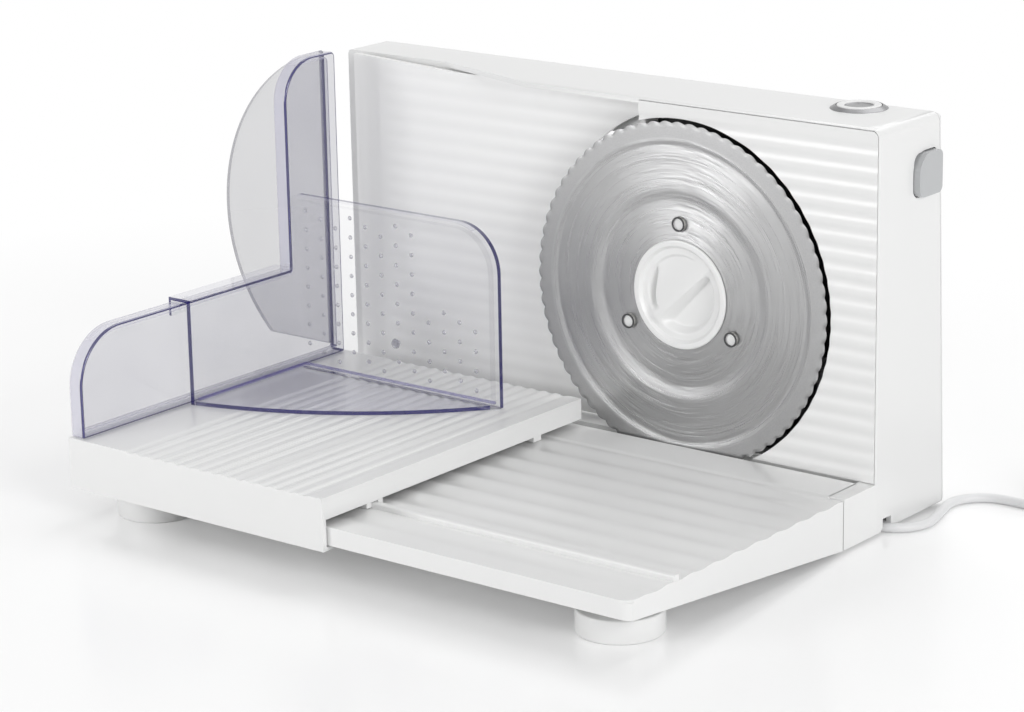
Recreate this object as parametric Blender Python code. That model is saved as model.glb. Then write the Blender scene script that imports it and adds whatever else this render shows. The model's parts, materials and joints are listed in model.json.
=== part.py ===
"""Electric food slicer: round blade, thickness fence, folding table and sliding food carriage.

Lengths are in metres. X runs right along the table, Y runs back, and Z runs up from the floor.
Sizes are measured from the blade's axis across, from the front panel's face in depth, and from
the floor in height. The root empty then puts the slicer's middle over the world's origin.
"""

import math

import bmesh
import bpy
from mathutils import Matrix, Vector

# Fits and modelling
GAP = 0.0003
RUNNING_GAP = 0.0006
OVERRUN = 0.002
MERGE = 0.000001
FACETS = 48
SMALL_FACETS = 12
SCREW_FACETS = 8
CORNER_STEPS = 5
SMOOTH_ANGLE = math.radians(32)

# Housing
WALL = 0.0025
COVER = 0.0025
HOUSING_LEFT = -0.226
HOUSING_RIGHT = 0.112
HOUSING_TOP = 0.1954
FLOOR_GAP = 0.0015
TOP_DEPTH = 0.054
FOOT_DEPTH = 0.0626
EDGE_ROUND = 0.002
RECESS = 0.0205
LIP_START = -0.092
LIP_END = -0.160
PANEL_LEFT = -0.0242
POST_WIDTH = 0.054
TOWER_LEFT = -0.050
BRIDGE_DROP = 0.0234
BASE_FRONT = 0.003
EAR_FRONT = -0.0266
EAR_WIDTH = 0.0092
PANEL = 0.0025
PANEL_LEDGE = 0.0025
PLATE_FRONT = 0.013
PLATE = 0.003
PLATE_LEDGE = 0.006
LEDGE_DEPTH = 0.0067
BOSS_RADIUS = 0.004
SCREW_RADIUS = 0.0015
SCREW_HEAD = 0.003
SCREW_HEAD_DEPTH = 0.001
COVER_SCREW_LENGTH = 0.012
PLATE_SCREW_LENGTH = 0.006

# Rib patterns
RIB_PITCH = 0.00805
RIB_GROOVE = 0.003
RIB_DEPTH = 0.0006
TABLE_RIB_PITCH = 0.0166
TABLE_GROOVE = 0.005
TABLE_GROOVE_DEPTH = 0.0007
CARRIAGE_RIB_PITCH = 0.0079

# Blade and its gear
AXIS = 0.1015
BLADE_RADIUS = 0.085
BLADE_RIM_FRONT = -0.0016
BLADE_BODY_FRONT = -0.0009
BLADE_DISH = 0.0014
BLADE = 0.001
BLADE_EDGE = 0.0001
BLADE_BORE = 0.024
BLADE_SEAT = 0.049
BLADE_STEP = 0.0035
BLADE_RING = 0.0735
BLADE_RING_STEP = 0.0025
WAVES = 72
WAVE_DEPTH = 0.0008
PANEL_CLEARANCE = 0.0012
PEG_CIRCLE = 0.035
PEG_RADIUS = 0.0029
PEGS = 3
GEAR_MODULE = 0.0015
BLADE_TEETH = 54
IDLER_TEETH = 18
GEAR_WIDTH = 0.0075
GEAR_WEB = 0.0025
GEAR_RIM = 0.003
FLANGE_RADIUS = 0.044
FLANGE = 0.0025
FLANGE_GAP = 0.0003
SHROUD_GAP = 0.0025
AXLE_RADIUS = 0.004
HUB_WALL = 0.004
ADDENDUM_SHARE = 0.8
DEDENDUM_SHARE = 1.2
TOOTH_TIP_SHARE = 0.2
TOOTH_ROOT_SHARE = 0.5

# Knob
KNOB_RADIUS = 0.027
KNOB_CUP = 0.020
KNOB_FRONT = -0.0008
KNOB_FLANGE = 0.001
KNOB_DISH = 0.0045
KNOB_LUG = 0.0032
KNOB_LUG_DEPTH = 0.0015
KNOB_LUGS = 2
KNOB_LUG_SPREAD = math.radians(34)
KNOB_TURN = math.radians(60)
GRIP_WIDTH = 0.006
GRIP_ANGLE = math.radians(41)

# Gear train and motor
WORM_MODULE = 0.00125
WHEEL_TEETH = 24
WHEEL_WIDTH = 0.010
WORM_STARTS = 3
WORM_RADIUS = 0.006
WORM_LENGTH = 0.019
WORM_STEP = math.radians(22.5)
IDLER_SHAFT = 0.003
ROTOR_Y = 0.027
ROTOR_SHAFT = 0.0025
BUSH_WALL = 0.004
BUSH_LENGTH = 0.005
CAN_RADIUS = 0.021
CAN_WALL = 0.0015
CAN_BOTTOM = 0.0355
CAN_LENGTH = 0.0425
BRACKET = 0.003
BRACKET_WIDTH = 0.020
BRACKET_TAB = 0.018
ARMATURE_RADIUS = 0.0145
ARMATURE_LENGTH = 0.020
COMMUTATOR_RADIUS = 0.006
COMMUTATOR_LENGTH = 0.008
FAN_RADIUS = 0.017
FAN_LENGTH = 0.005
FAN_BLADES = 9
BRUSH_WIDTH = 0.005
BRUSH_LENGTH = 0.010

# Thickness fence
FENCE_FRONT = 0.0146
FENCE = 0.0025
FENCE_LEFT = -0.217
FENCE_RIGHT = -0.0247
FENCE_RISE = 0.001
FENCE_TOP = 0.1960
FENCE_LOW_TOP = 0.1922
FENCE_STEP = -0.1525
FENCE_THROAT = 0.0887
ROD_RADIUS = 0.004
ROD_LENGTH = 0.034
ROD_LOW = 0.060
ROD_HIGH = 0.150
GUIDE_X = -0.197
CARRIER_WIDTH = 0.030
CARRIER = 0.0025
CARRIER_MARGIN = 0.012
BUSH_FLANGE = 0.003
BUSH_FLANGE_THICK = 0.002
GUIDE_BUSH_LENGTH = 0.015
BUSH_SHELL = 0.0035
NUT_WALL = 0.004
NUT_LENGTH = 0.022
DIAL_HEIGHT = 0.105
DIAL_RADIUS = 0.022
DIAL_DEPTH = 0.0124
DIAL_HUB = 0.013
DIAL_CLEARANCE = 0.0006
DIAL_FLUTES = 24
DIAL_FLUTE = 0.0009

# Table
TABLE_LEFT = -0.219
TABLE_RIGHT = 0.1128
TABLE_FRONT = -0.1937
TABLE_TOP = 0.0262
TABLE_PLATE = 0.003
TABLE_FRONT_HEIGHT = 0.0089
TABLE_REAR_BOTTOM = 0.0015
TABLE_CORNER = 0.006
TONGUE_BACK = -0.003
TABLE_CELLS = 7
TABLE_BAYS = 4
TABLE_RIB = 0.002
RIDGE_Y = -0.159
RIDGE_WIDTH = 0.004
RIDGE_HEIGHT = 0.0022
HINGE_Y = -0.012
HINGE_Z = 0.014
HINGE_PIN = 0.003
HINGE_PIN_LENGTH = 0.012
FRONT_FOOT_RADIUS = 0.020
FRONT_FOOT_TOP = 0.0112
FOOT_STEM = 0.009
FRONT_FOOT_INSET = 0.0275
FRONT_FOOT_LEFT = -0.193
FRONT_FOOT_RIGHT = 0.0867
REAR_FOOT_RADIUS = 0.009
REAR_FOOT_INSET = 0.018

# Carriage
CARRIAGE_LEFT = -0.2213
CARRIAGE_RIGHT = -0.0583
CARRIAGE_FRONT = -0.1968
CARRIAGE_BACK = -0.0031
CARRIAGE_TOP = 0.0402
CARRIAGE_SKIRT = 0.0106
CARRIAGE_PLATE = 0.003
CARRIAGE_LIP = 0.0147
CARRIAGE_HOOK = 0.0017
CARRIAGE_HOOK_DEPTH = 0.0073
CARRIAGE_MARGIN = 0.0372
RUNNER = 0.003
REAR_RUNNER_Y = -0.037
REAR_RUNNER_WIDTH = 0.006

# Backrest, thumb guard and food holder
CLEAR_WALL = 0.0025
BACKREST_RIGHT = -0.2119
BACKREST_WIDTH = 0.0085
BACKREST_FRONT = -0.1957
BACKREST_BACK = -0.0058
BACKREST_STEP = -0.0446
BACKREST_LOW = 0.0923
BACKREST_TALL = 0.1999
BACKREST_CORNER = 0.028
BACKREST_TALL_CORNER = 0.022
GUARD_X = -0.1983
GUARD_HEIGHT = 0.1103
GUARD_RADIUS = 0.0919
GUARD = 0.0022
GUARD_BOTTOM = 0.044
GUARD_CORNER = 0.006
HOLDER_RIGHT = -0.0796
HOLDER_SIDE = -0.2101
HOLDER_FRONT = -0.1235
HOLDER_BACK = -0.0383
HOLDER_TOP = 0.1321
HOLDER_FLOOR = 0.002
HOLDER_CORNER = 0.024
HOLDER_BULGE = 0.0143
HOLDER_RIM = 0.0065
SADDLE = 0.0016
SADDLE_OVERHANG = 0.0018
CLIP_DROP = 0.008
CLIP_LENGTH = 0.012

# Switch and lock button
SWITCH_Y = 0.0395
SWITCH_DROP = 0.0271
SWITCH_WIDTH = 0.0200
SWITCH_HEIGHT = 0.0205
SWITCH_PROUD = 0.0022
SWITCH_CORNER = 0.005
SWITCH_FLANGE = 0.0018
SWITCH_DEPTH = 0.0055
SWITCH_TRAVEL = 0.0025
LOCK_X = 0.0769
LOCK_Y = 0.0372
LOCK_RADIUS = 0.0107
LOCK_RING = 0.0028
LOCK_RING_HEIGHT = 0.0018
LOCK_PROUD = 0.0026
LOCK_DEPTH = 0.010
LOCK_DISH = 0.0012
LOCK_STEM = 0.003
LOCK_TRAVEL = 0.003
SPRING_WIRE = 0.0005
SPRING_RADIUS = 0.0055
SPRING_LENGTH = 0.015
SPRING_TURNS = 5
SPRING_POINTS = 10
MICRO_WIDTH = 0.014
MICRO_LENGTH = 0.0105
MICRO_HEIGHT = 0.015
SHELF = 0.0025

# Cord
CORD_RADIUS = 0.0023
CORD_LIFT = 0.00005
NOTCH_Y = 0.0102
NOTCH_WIDTH = 0.0074
NOTCH_HEIGHT = 0.0078
CLAMP_LENGTH = 0.012
CLAMP_WIDTH = 0.010
CLAMP_HEIGHT = 0.010
CLAMP_INSET = 0.008
COIL_X = 0.178
COIL_FRONT = 0.0785
COIL_INNER = 0.0185
COIL_PITCH = 0.0052
COIL_TURNS = 7
COIL_POINTS = 24
COIL_CLIMB_SHARE = 0.5
COIL_TAIL = 0.022
PLUG_LENGTH = 0.036
PLUG_WIDTH = 0.035
PLUG_CORNER = 0.008
PLUG_NOSE = 0.016
SLEEVE_LENGTH = 0.018
SLEEVE_RADIUS = 0.0045
PIN_LENGTH = 0.019
PIN_RADIUS = 0.002
PIN_SPREAD = 0.019
CORD_SPACING = 0.0095
CURVE_STEPS = 20
CORD_ROUTE = (
    (0.1048, 0.0095),
    (0.1113, 0.0107),
    (0.1174, 0.0144),
    (0.1217, 0.0200),
    (0.1237, 0.0269),
    (0.1231, 0.0339),
    (0.1205, 0.0439),
    (0.1178, 0.0540),
    (0.1172, 0.0610),
    (0.1192, 0.0679),
    (0.1236, 0.0735),
    (0.1296, 0.0772),
    (0.1366, 0.0785),
    (0.1457, 0.0785),
    (0.1548, 0.0785),
    (0.1640, 0.0785),
    (0.1731, 0.0785),
)

# Sizes that follow from the ones above
POST_RIGHT = HOUSING_LEFT + POST_WIDTH
WINDOW_TOP = HOUSING_TOP - BRIDGE_DROP
INSIDE_RIGHT = HOUSING_RIGHT - WALL
INSIDE_TOP = HOUSING_TOP - WALL
PLATE_BACK = PLATE_FRONT + PLATE + GAP
LEDGE_BACK = PLATE_BACK + LEDGE_DEPTH
PANEL_HOLE = BLADE_RADIUS + PANEL_CLEARANCE
BLADE_SEAT_FRONT = BLADE_BODY_FRONT + BLADE_DISH
BLADE_BACK = BLADE_SEAT_FRONT + BLADE
FLANGE_FRONT = BLADE_BACK + FLANGE_GAP
FLANGE_BACK = FLANGE_FRONT + FLANGE
SHROUD_RADIUS = FLANGE_RADIUS + SHROUD_GAP + WALL
SHROUD_FRONT = PANEL + 2 * GAP
GEAR_BACK = FLANGE_BACK + GEAR_WIDTH
BLADE_PITCH_RADIUS = GEAR_MODULE * BLADE_TEETH / 2
IDLER_PITCH_RADIUS = GEAR_MODULE * IDLER_TEETH / 2
IDLER_X = BLADE_PITCH_RADIUS + IDLER_PITCH_RADIUS
WHEEL_RADIUS = WORM_MODULE * WHEEL_TEETH / 2
WORM_LEAD = WORM_STARTS * math.pi * WORM_MODULE
ROTOR_X = IDLER_X + WHEEL_RADIUS + WORM_RADIUS
WORM_TOP = AXIS + WORM_LENGTH / 2
CAN_TOP = CAN_BOTTOM + CAN_LENGTH
BRACKET_BOTTOM = CAN_TOP + GAP
BRACKET_TOP = BRACKET_BOTTOM + BRACKET
KNOB_FLANGE_BACK = KNOB_FRONT + KNOB_FLANGE
LUG_FRONT = FLANGE_BACK + GAP
KNOB_BACK = LUG_FRONT + KNOB_LUG_DEPTH
HUB_FRONT = KNOB_BACK + RUNNING_GAP
FENCE_BOTTOM = TABLE_TOP + FENCE_RISE
FENCE_BACK = FENCE_FRONT + FENCE
CARRIER_FRONT = FENCE_BACK + GAP
CARRIER_BACK = CARRIER_FRONT + CARRIER
BUSH_RADIUS = ROD_RADIUS + GAP + BUSH_SHELL
FRONT_FOOT_Y = TABLE_FRONT + FRONT_FOOT_INSET
CARRIAGE_BOTTOM = CARRIAGE_TOP - CARRIAGE_SKIRT
BACKREST_LEFT = BACKREST_RIGHT - BACKREST_WIDTH
BACKREST_BOTTOM = CARRIAGE_TOP + GAP
HOLDER_BOTTOM = CARRIAGE_TOP + GAP
SADDLE_BOTTOM = BACKREST_LOW + GAP
SADDLE_TOP = SADDLE_BOTTOM + SADDLE
HOLDER_STOP = BACKREST_STEP - RUNNING_GAP
SWITCH_Z = HOUSING_TOP - SWITCH_DROP
SWITCH_BACK = INSIDE_RIGHT - GAP - SWITCH_FLANGE - SWITCH_DEPTH
LOCK_TOP = HOUSING_TOP + LOCK_PROUD
LOCK_BOTTOM = LOCK_TOP - LOCK_DEPTH - LOCK_PROUD
SPRING_TOP = LOCK_BOTTOM - GAP
SPRING_FOOT = SPRING_TOP - SPRING_LENGTH
MICRO_TOP = SPRING_FOOT - GAP
SHELF_TOP = MICRO_TOP - MICRO_HEIGHT - GAP
CORD_Z = CORD_RADIUS + CORD_LIFT
COIL_OUTER = COIL_INNER + COIL_PITCH * (COIL_TURNS - COIL_CLIMB_SHARE) / 2
COIL_Y = COIL_FRONT + COIL_OUTER
COIL_TOP_Z = CORD_Z + COIL_PITCH

AXES = {
    "X": lambda a, b, along: Vector((along, a, b)),
    "Y": lambda a, b, along: Vector((a, along, b)),
    "Z": lambda a, b, along: Vector((a, b, along)),
}


def rear_y(height, offset=0.0):
    """Return the sloping rear face's depth at a height, moved forward by an offset."""
    slope = (FOOT_DEPTH - TOP_DEPTH) / (HOUSING_TOP - FLOOR_GAP)
    return FOOT_DEPTH - (height - FLOOR_GAP) * slope - offset


DIAL_FRONT = rear_y(DIAL_HEIGHT - DIAL_RADIUS) + DIAL_CLEARANCE
DIAL_BACK = DIAL_FRONT + DIAL_DEPTH
MIDDLE_X = (GUARD_X - GUARD_RADIUS + HOUSING_RIGHT + SWITCH_PROUD) / 2
MIDDLE_Y = (CARRIAGE_FRONT + DIAL_BACK) / 2


# Modelling helpers


def rounded(corners, steps=CORNER_STEPS):
    """Return an outline from (a, b, radius) corners, each turned into an arc."""
    points = []
    for index, (a, b, radius) in enumerate(corners):
        here = Vector((a, b))
        if radius == 0:
            points.append((a, b))
            continue
        before = (Vector(corners[index - 1][:2]) - here).normalized()
        after = (Vector(corners[(index + 1) % len(corners)][:2]) - here).normalized()
        half = before.angle(after) / 2
        centre = here + (before + after).normalized() * radius / math.sin(half)
        start = here + before * radius / math.tan(half) - centre
        end = here + after * radius / math.tan(half) - centre
        sweep = -start.angle_signed(end)
        for step in range(steps + 1):
            points.append(tuple(centre + Matrix.Rotation(sweep * step / steps, 2) @ start))
    return points


def rectangle(left, right, low, high, radius=0.0):
    """Return a rectangle's outline, with rounded corners where a radius is given."""
    return rounded([(left, low, radius), (right, low, radius), (right, high, radius), (left, high, radius)])


def solid(bm, name="solid"):
    """Turn a bmesh into a linked object with its faces pointing out."""
    bmesh.ops.recalc_face_normals(bm, faces=bm.faces)
    mesh = bpy.data.meshes.new(name)
    bm.to_mesh(mesh)
    bm.free()
    item = bpy.data.objects.new(name, mesh)
    bpy.context.collection.objects.link(item)
    return item


def prism(outline, axis, start, end):
    """Extrude an outline along an axis between two places."""
    bm = bmesh.new()
    face = bm.faces.new([bm.verts.new(AXES[axis](a, b, start)) for a, b in outline])
    made = bmesh.ops.extrude_face_region(bm, geom=[face], use_keep_orig=True)
    moved = [item for item in made["geom"] if isinstance(item, bmesh.types.BMVert)]
    bmesh.ops.translate(bm, verts=moved, vec=AXES[axis](0, 0, end - start))
    return solid(bm)


def box(left, right, front, back, low, high):
    """Return a box between three pairs of faces."""
    return prism(rectangle(left, right, front, back), "Z", low, high)


def turned(profile, axis, a, b, facets=FACETS):
    """Spin a profile of (radius, along) points about an axis that passes through (a, b)."""
    bm = bmesh.new()
    verts = [bm.verts.new(AXES[axis](a + radius, b, along)) for radius, along in profile]
    edges = []
    for index, vert in enumerate(verts):
        following = (index + 1) % len(verts)
        if profile[index][0] > 0 or profile[following][0] > 0:
            edges.append(bm.edges.new((vert, verts[following])))
    bmesh.ops.spin(
        bm,
        geom=verts + edges,
        cent=AXES[axis](a, b, 0),
        axis=AXES[axis](0, 0, 1),
        angle=2 * math.pi,
        steps=facets,
        use_merge=True,
    )
    bmesh.ops.remove_doubles(bm, verts=bm.verts, dist=MERGE)
    return solid(bm)


def tube(axis, a, b, inner, outer, start, end, facets=FACETS):
    """Return a ring or, with no inner radius, a cylinder."""
    return turned([(inner, start), (outer, start), (outer, end), (inner, end)], axis, a, b, facets)


def lofted(rings):
    """Join rings of equal point counts into one closed solid."""
    bm = bmesh.new()
    rows = [[bm.verts.new(point) for point in ring] for ring in rings]
    bm.faces.new(rows[0])
    bm.faces.new(rows[-1])
    for lower, upper in zip(rows, rows[1:]):
        for index, vert in enumerate(lower):
            after = (index + 1) % len(lower)
            bm.faces.new((vert, lower[after], upper[after], upper[index]))
    return solid(bm)


def bake(item):
    """Apply an object's modifiers to its mesh."""
    graph = bpy.context.evaluated_depsgraph_get()
    mesh = bpy.data.meshes.new_from_object(item.evaluated_get(graph))
    item.modifiers.clear()
    bm = bmesh.new()
    bm.from_mesh(mesh)
    bmesh.ops.remove_doubles(bm, verts=bm.verts, dist=MERGE)
    bmesh.ops.dissolve_degenerate(bm, edges=bm.edges, dist=MERGE)
    bm.to_mesh(mesh)
    bm.free()
    item.data = mesh


def combine(item, others, operation, solver="EXACT"):
    """Apply one Boolean for each other solid, then remove those solids."""
    for other in others:
        modifier = item.modifiers.new(operation.title(), "BOOLEAN")
        modifier.operation = operation
        modifier.solver = solver
        modifier.object = other
    bake(item)
    for other in others:
        bpy.data.objects.remove(other)
    return item


def join(item, *others):
    """Unite solids into one."""
    return combine(item, others, "UNION")


def cut(item, *others):
    """Cut solids out of one."""
    return combine(item, others, "DIFFERENCE")


def keep(item, *others):
    """Keep only what lies inside each of the other solids."""
    return combine(item, others, "INTERSECT")


def bevel_all(item, width):
    """Round every edge of a plain block."""
    bm = bmesh.new()
    bm.from_mesh(item.data)
    bmesh.ops.bevel(bm, geom=bm.edges[:], offset=width, segments=2, profile=0.5, affect="EDGES")
    bm.to_mesh(item.data)
    bm.free()
    return item


def grooved(start, end, level, first, pitch, width, depth):
    """Return the points of a straight line cut by V grooves, going from start to end."""
    points = [(start, level)]
    index = math.ceil((start + width - first) / pitch)
    while first + index * pitch + width / 2 < end:
        middle = first + index * pitch
        if middle - width / 2 > start:
            points.append((middle - width / 2, level))
            points.append((middle, level + depth))
            points.append((middle + width / 2, level))
        index += 1
    points.append((end, level))
    return points


def gear_outline(a, b, teeth, module, phase):
    """Return a plain gear's outline with one tooth centred on the phase angle."""
    pitch_angle = 2 * math.pi / teeth
    middle = teeth * module / 2
    tip = middle + module * ADDENDUM_SHARE
    root = middle - module * DEDENDUM_SHARE
    points = []
    for tooth in range(teeth):
        centre = phase + tooth * pitch_angle
        root_half = pitch_angle * TOOTH_ROOT_SHARE / 2
        tip_half = pitch_angle * TOOTH_TIP_SHARE / 2
        for radius, angle in ((root, -root_half), (tip, -tip_half), (tip, tip_half), (root, root_half)):
            points.append((a + radius * math.cos(centre + angle), b + radius * math.sin(centre + angle)))
    return points


def material(name, colour, roughness, metallic, alpha=1.0):
    """Return a Principled material."""
    made = bpy.data.materials.new(name)
    made.use_nodes = True
    shader = made.node_tree.nodes["Principled BSDF"]
    shader.inputs["Base Color"].default_value = (*colour, 1.0)
    shader.inputs["Roughness"].default_value = roughness
    shader.inputs["Metallic"].default_value = metallic
    shader.inputs["Alpha"].default_value = alpha
    return made


WHITE = ((0.86, 0.87, 0.88), 0.25, 0.0)
CLEAR = ((0.72, 0.74, 0.86), 0.08, 0.0, 0.4)
STEEL = ((0.62, 0.62, 0.63), 0.25, 1.0)
DARK = ((0.06, 0.06, 0.065), 0.5, 0.0)
RUBBER = ((0.12, 0.12, 0.12), 0.8, 0.0)
GREY = ((0.55, 0.56, 0.58), 0.35, 0.0)
NYLON = ((0.85, 0.84, 0.80), 0.45, 0.0)
BRASS = ((0.75, 0.58, 0.28), 0.3, 1.0)
COPPER = ((0.72, 0.35, 0.18), 0.4, 1.0)
CORD_WHITE = ((0.80, 0.81, 0.82), 0.45, 0.0)


def piece(name, item, look, origin=(0.0, 0.0, 0.0)):
    """Name a solid, give it its material, smooth it and move its origin to a joint's axis."""
    item.name = name
    item.data.name = name
    item.data.materials.clear()
    item.data.materials.append(material(name, *look))
    item.data.shade_smooth()
    item.data.set_sharp_from_angle(angle=SMOOTH_ANGLE)
    item.data.transform(Matrix.Translation(-Vector(origin)))
    item.location = origin
    return item


def pieces(name, endings, items, look):
    """Name repeated solids alike, each with its own ending."""
    for ending, item in zip(endings, items):
        piece(f"{name}_{ending}", item, look)


# Housing


def full_block():
    """Return the housing's outer block, with its sloping rear and rounded edges."""
    side = [(0, FLOOR_GAP), (0, HOUSING_TOP), (TOP_DEPTH, HOUSING_TOP), (FOOT_DEPTH, FLOOR_GAP)]
    return bevel_all(prism(side, "X", HOUSING_LEFT, HOUSING_RIGHT), EDGE_ROUND)


def rear_slab(front_offset, back_offset):
    """Return a slab that follows the sloping rear face between two offsets from it."""
    low = -OVERRUN
    high = HOUSING_TOP + OVERRUN
    outline = [
        (rear_y(low, front_offset), low),
        (rear_y(low, back_offset), low),
        (rear_y(high, back_offset), high),
        (rear_y(high, front_offset), high),
    ]
    return prism(outline, "X", HOUSING_LEFT - OVERRUN, HOUSING_RIGHT + OVERRUN)


def window(front):
    """Return the cutter of the opening that slices fall through, behind the blade's left half."""
    return box(POST_RIGHT, TOWER_LEFT, front, FOOT_DEPTH + OVERRUN, TABLE_TOP, WINDOW_TOP)


def hinge_ear(left, right):
    """Return one of the two blocks beside the table that hold its hinge pins."""
    return box(left, right, EAR_FRONT, BASE_FRONT + WALL, FLOOR_GAP, TABLE_TOP)


def boss_places():
    """Return the (x, z) places of the rear cover's screws."""
    inset = WALL + BOSS_RADIUS - GAP
    left = HOUSING_LEFT + inset
    right = HOUSING_RIGHT - inset
    low = FLOOR_GAP + inset
    high = HOUSING_TOP - inset
    return [(left, low), (left, high), (right, low), (right, high)]


def plate_screw_places():
    """Return the (x, z) places of the gearbox plate's screws, on its ledge."""
    inset = SCREW_HEAD + 2 * GAP
    left = PANEL_LEFT + WALL + inset
    right = INSIDE_RIGHT - PANEL_LEDGE - inset
    low = TABLE_TOP + WALL + inset
    high = INSIDE_TOP - PANEL_LEDGE - inset
    return [(left, high), (right, low)]


def screw_hole(x, z, start, end):
    """Return the cutter of a screw's hole."""
    return tube("Y", x, z, 0, SCREW_RADIUS + GAP, start, end, SCREW_FACETS)


def build_housing_shell():
    """Shell with the tower, the post, the bridge, the base and the two hinge ears."""
    far = FOOT_DEPTH + OVERRUN
    left = HOUSING_LEFT + WALL
    floor = FLOOR_GAP + WALL
    shell = cut(full_block(), rear_slab(COVER + GAP, -OVERRUN))
    lip = [
        (LIP_START, -OVERRUN),
        (LIP_START, 0),
        (LIP_END, RECESS),
        (HOUSING_LEFT - OVERRUN, RECESS),
        (HOUSING_LEFT - OVERRUN, -OVERRUN),
    ]
    cut(
        shell,
        box(HOUSING_LEFT - OVERRUN, PANEL_LEFT, -OVERRUN, RECESS, TABLE_TOP, INSIDE_TOP),
        prism(lip, "Z", TABLE_TOP, HOUSING_TOP + OVERRUN),
        box(TABLE_LEFT + EAR_WIDTH, HOUSING_RIGHT - EAR_WIDTH, -OVERRUN, BASE_FRONT, -OVERRUN, TABLE_TOP),
        box(PANEL_LEFT - GAP, INSIDE_RIGHT, -OVERRUN, PANEL + GAP, TABLE_TOP, INSIDE_TOP),
        window(RECESS - OVERRUN),
    )
    join(
        shell,
        tube("Y", 0, AXIS, 0, SHROUD_RADIUS, SHROUD_FRONT, RECESS + WALL / 2),
        hinge_ear(HOUSING_RIGHT - EAR_WIDTH, HOUSING_RIGHT - GAP),
        hinge_ear(TABLE_LEFT, TABLE_LEFT + EAR_WIDTH),
    )
    ledge_x = INSIDE_RIGHT - PANEL_LEDGE
    ledge_z = INSIDE_TOP - PANEL_LEDGE
    plate_left = PANEL_LEFT + WALL
    plate_low = TABLE_TOP + WALL
    cavities = [
        box(TOWER_LEFT + WALL, INSIDE_RIGHT, LEDGE_BACK, far, floor, INSIDE_TOP),
        box(left, POST_RIGHT - WALL, RECESS + WALL, far, floor, INSIDE_TOP),
        box(left + GAP, INSIDE_RIGHT - GAP, LEDGE_BACK + GAP, far, WINDOW_TOP + WALL, INSIDE_TOP - GAP),
        box(left + GAP, INSIDE_RIGHT - GAP, BASE_FRONT + WALL, far, floor + GAP, TABLE_TOP - WALL),
        box(plate_left, ledge_x, -OVERRUN, PLATE_BACK, plate_low, ledge_z),
        tube("Y", 0, AXIS, 0, SHROUD_RADIUS - WALL, -OVERRUN * 2, PLATE_BACK + GAP),
        box(
            plate_left + PLATE_LEDGE,
            ledge_x - PLATE_LEDGE,
            PLATE_BACK - WALL,
            LEDGE_BACK + WALL,
            plate_low + PLATE_LEDGE,
            ledge_z - PLATE_LEDGE,
        ),
    ]
    combine(shell, cavities, "DIFFERENCE", "MANIFOLD")
    bosses = []
    for x, z in boss_places():
        end = rear_y(z + BOSS_RADIUS, COVER + GAP)
        bosses.append(tube("Y", x, z, 0, BOSS_RADIUS, LEDGE_BACK - WALL / 2, end, SMALL_FACETS))
    shelf = box(
        LOCK_X - MICRO_WIDTH / 2 - GAP,
        HOUSING_RIGHT - WALL / 2,
        LEDGE_BACK - WALL / 2,
        LOCK_Y + MICRO_LENGTH,
        SHELF_TOP - SHELF,
        SHELF_TOP,
    )
    join(shell, *bosses, shelf)
    holes = []
    deepest = rear_y(HOUSING_TOP) - COVER_SCREW_LENGTH - OVERRUN
    for x, z in boss_places():
        holes.append(screw_hole(x, z, deepest, far))
    for x, z in plate_screw_places():
        holes.append(screw_hole(x, z, PLATE_FRONT, LEDGE_BACK - WALL / 2))
    for height in (ROD_LOW, ROD_HIGH):
        holes.append(tube("Y", GUIDE_X, height, 0, BUSH_RADIUS + GAP, RECESS - WALL, RECESS + WALL * 2))
    nut_hole = ROD_RADIUS + GAP + NUT_WALL + RUNNING_GAP
    switch = rectangle(
        SWITCH_Y - SWITCH_WIDTH / 2,
        SWITCH_Y + SWITCH_WIDTH / 2,
        SWITCH_Z - SWITCH_HEIGHT / 2,
        SWITCH_Z + SWITCH_HEIGHT / 2,
        SWITCH_CORNER,
    )
    holes += [
        tube("Y", GUIDE_X, DIAL_HEIGHT, 0, nut_hole, RECESS - WALL, RECESS + WALL * 2),
        prism(switch, "X", INSIDE_RIGHT - WALL, HOUSING_RIGHT + OVERRUN),
        tube("Z", LOCK_X, LOCK_Y, 0, LOCK_RADIUS + GAP, INSIDE_TOP - WALL, HOUSING_TOP + OVERRUN),
        box(
            HOUSING_RIGHT - CLAMP_INSET - CLAMP_LENGTH + WALL,
            HOUSING_RIGHT + OVERRUN,
            NOTCH_Y - NOTCH_WIDTH / 2,
            NOTCH_Y + NOTCH_WIDTH / 2,
            -OVERRUN,
            NOTCH_HEIGHT,
        ),
    ]
    for start, end in hinge_spans():
        holes.append(tube("X", HINGE_Y, HINGE_Z, 0, HINGE_PIN + GAP, start - GAP, end + GAP, SMALL_FACETS))
    return piece("housing_shell", combine(shell, holes, "DIFFERENCE", "MANIFOLD"), WHITE)


def build_rear_cover():
    """Sloping cover with the seat of the thickness dial and the screws' counterbores."""
    cover = keep(full_block(), rear_slab(COVER, -OVERRUN))
    spindle = ROD_RADIUS + GAP
    hub_start = rear_y(DIAL_HEIGHT) - COVER / 2
    join(cover, tube("Y", GUIDE_X, DIAL_HEIGHT, 0, DIAL_HUB, hub_start, DIAL_FRONT - GAP))
    cutters = [window(0), tube("Y", GUIDE_X, DIAL_HEIGHT, 0, spindle, RECESS, DIAL_BACK)]
    for x, z in boss_places():
        seat = rear_y(z + BOSS_RADIUS) - SCREW_HEAD_DEPTH - 2 * GAP
        cutters.append(screw_hole(x, z, RECESS, FOOT_DEPTH + OVERRUN))
        cutters.append(tube("Y", x, z, 0, SCREW_HEAD + GAP, seat, FOOT_DEPTH + OVERRUN, SCREW_FACETS))
    return piece("rear_cover", combine(cover, cutters, "DIFFERENCE", "MANIFOLD"), WHITE)


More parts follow.
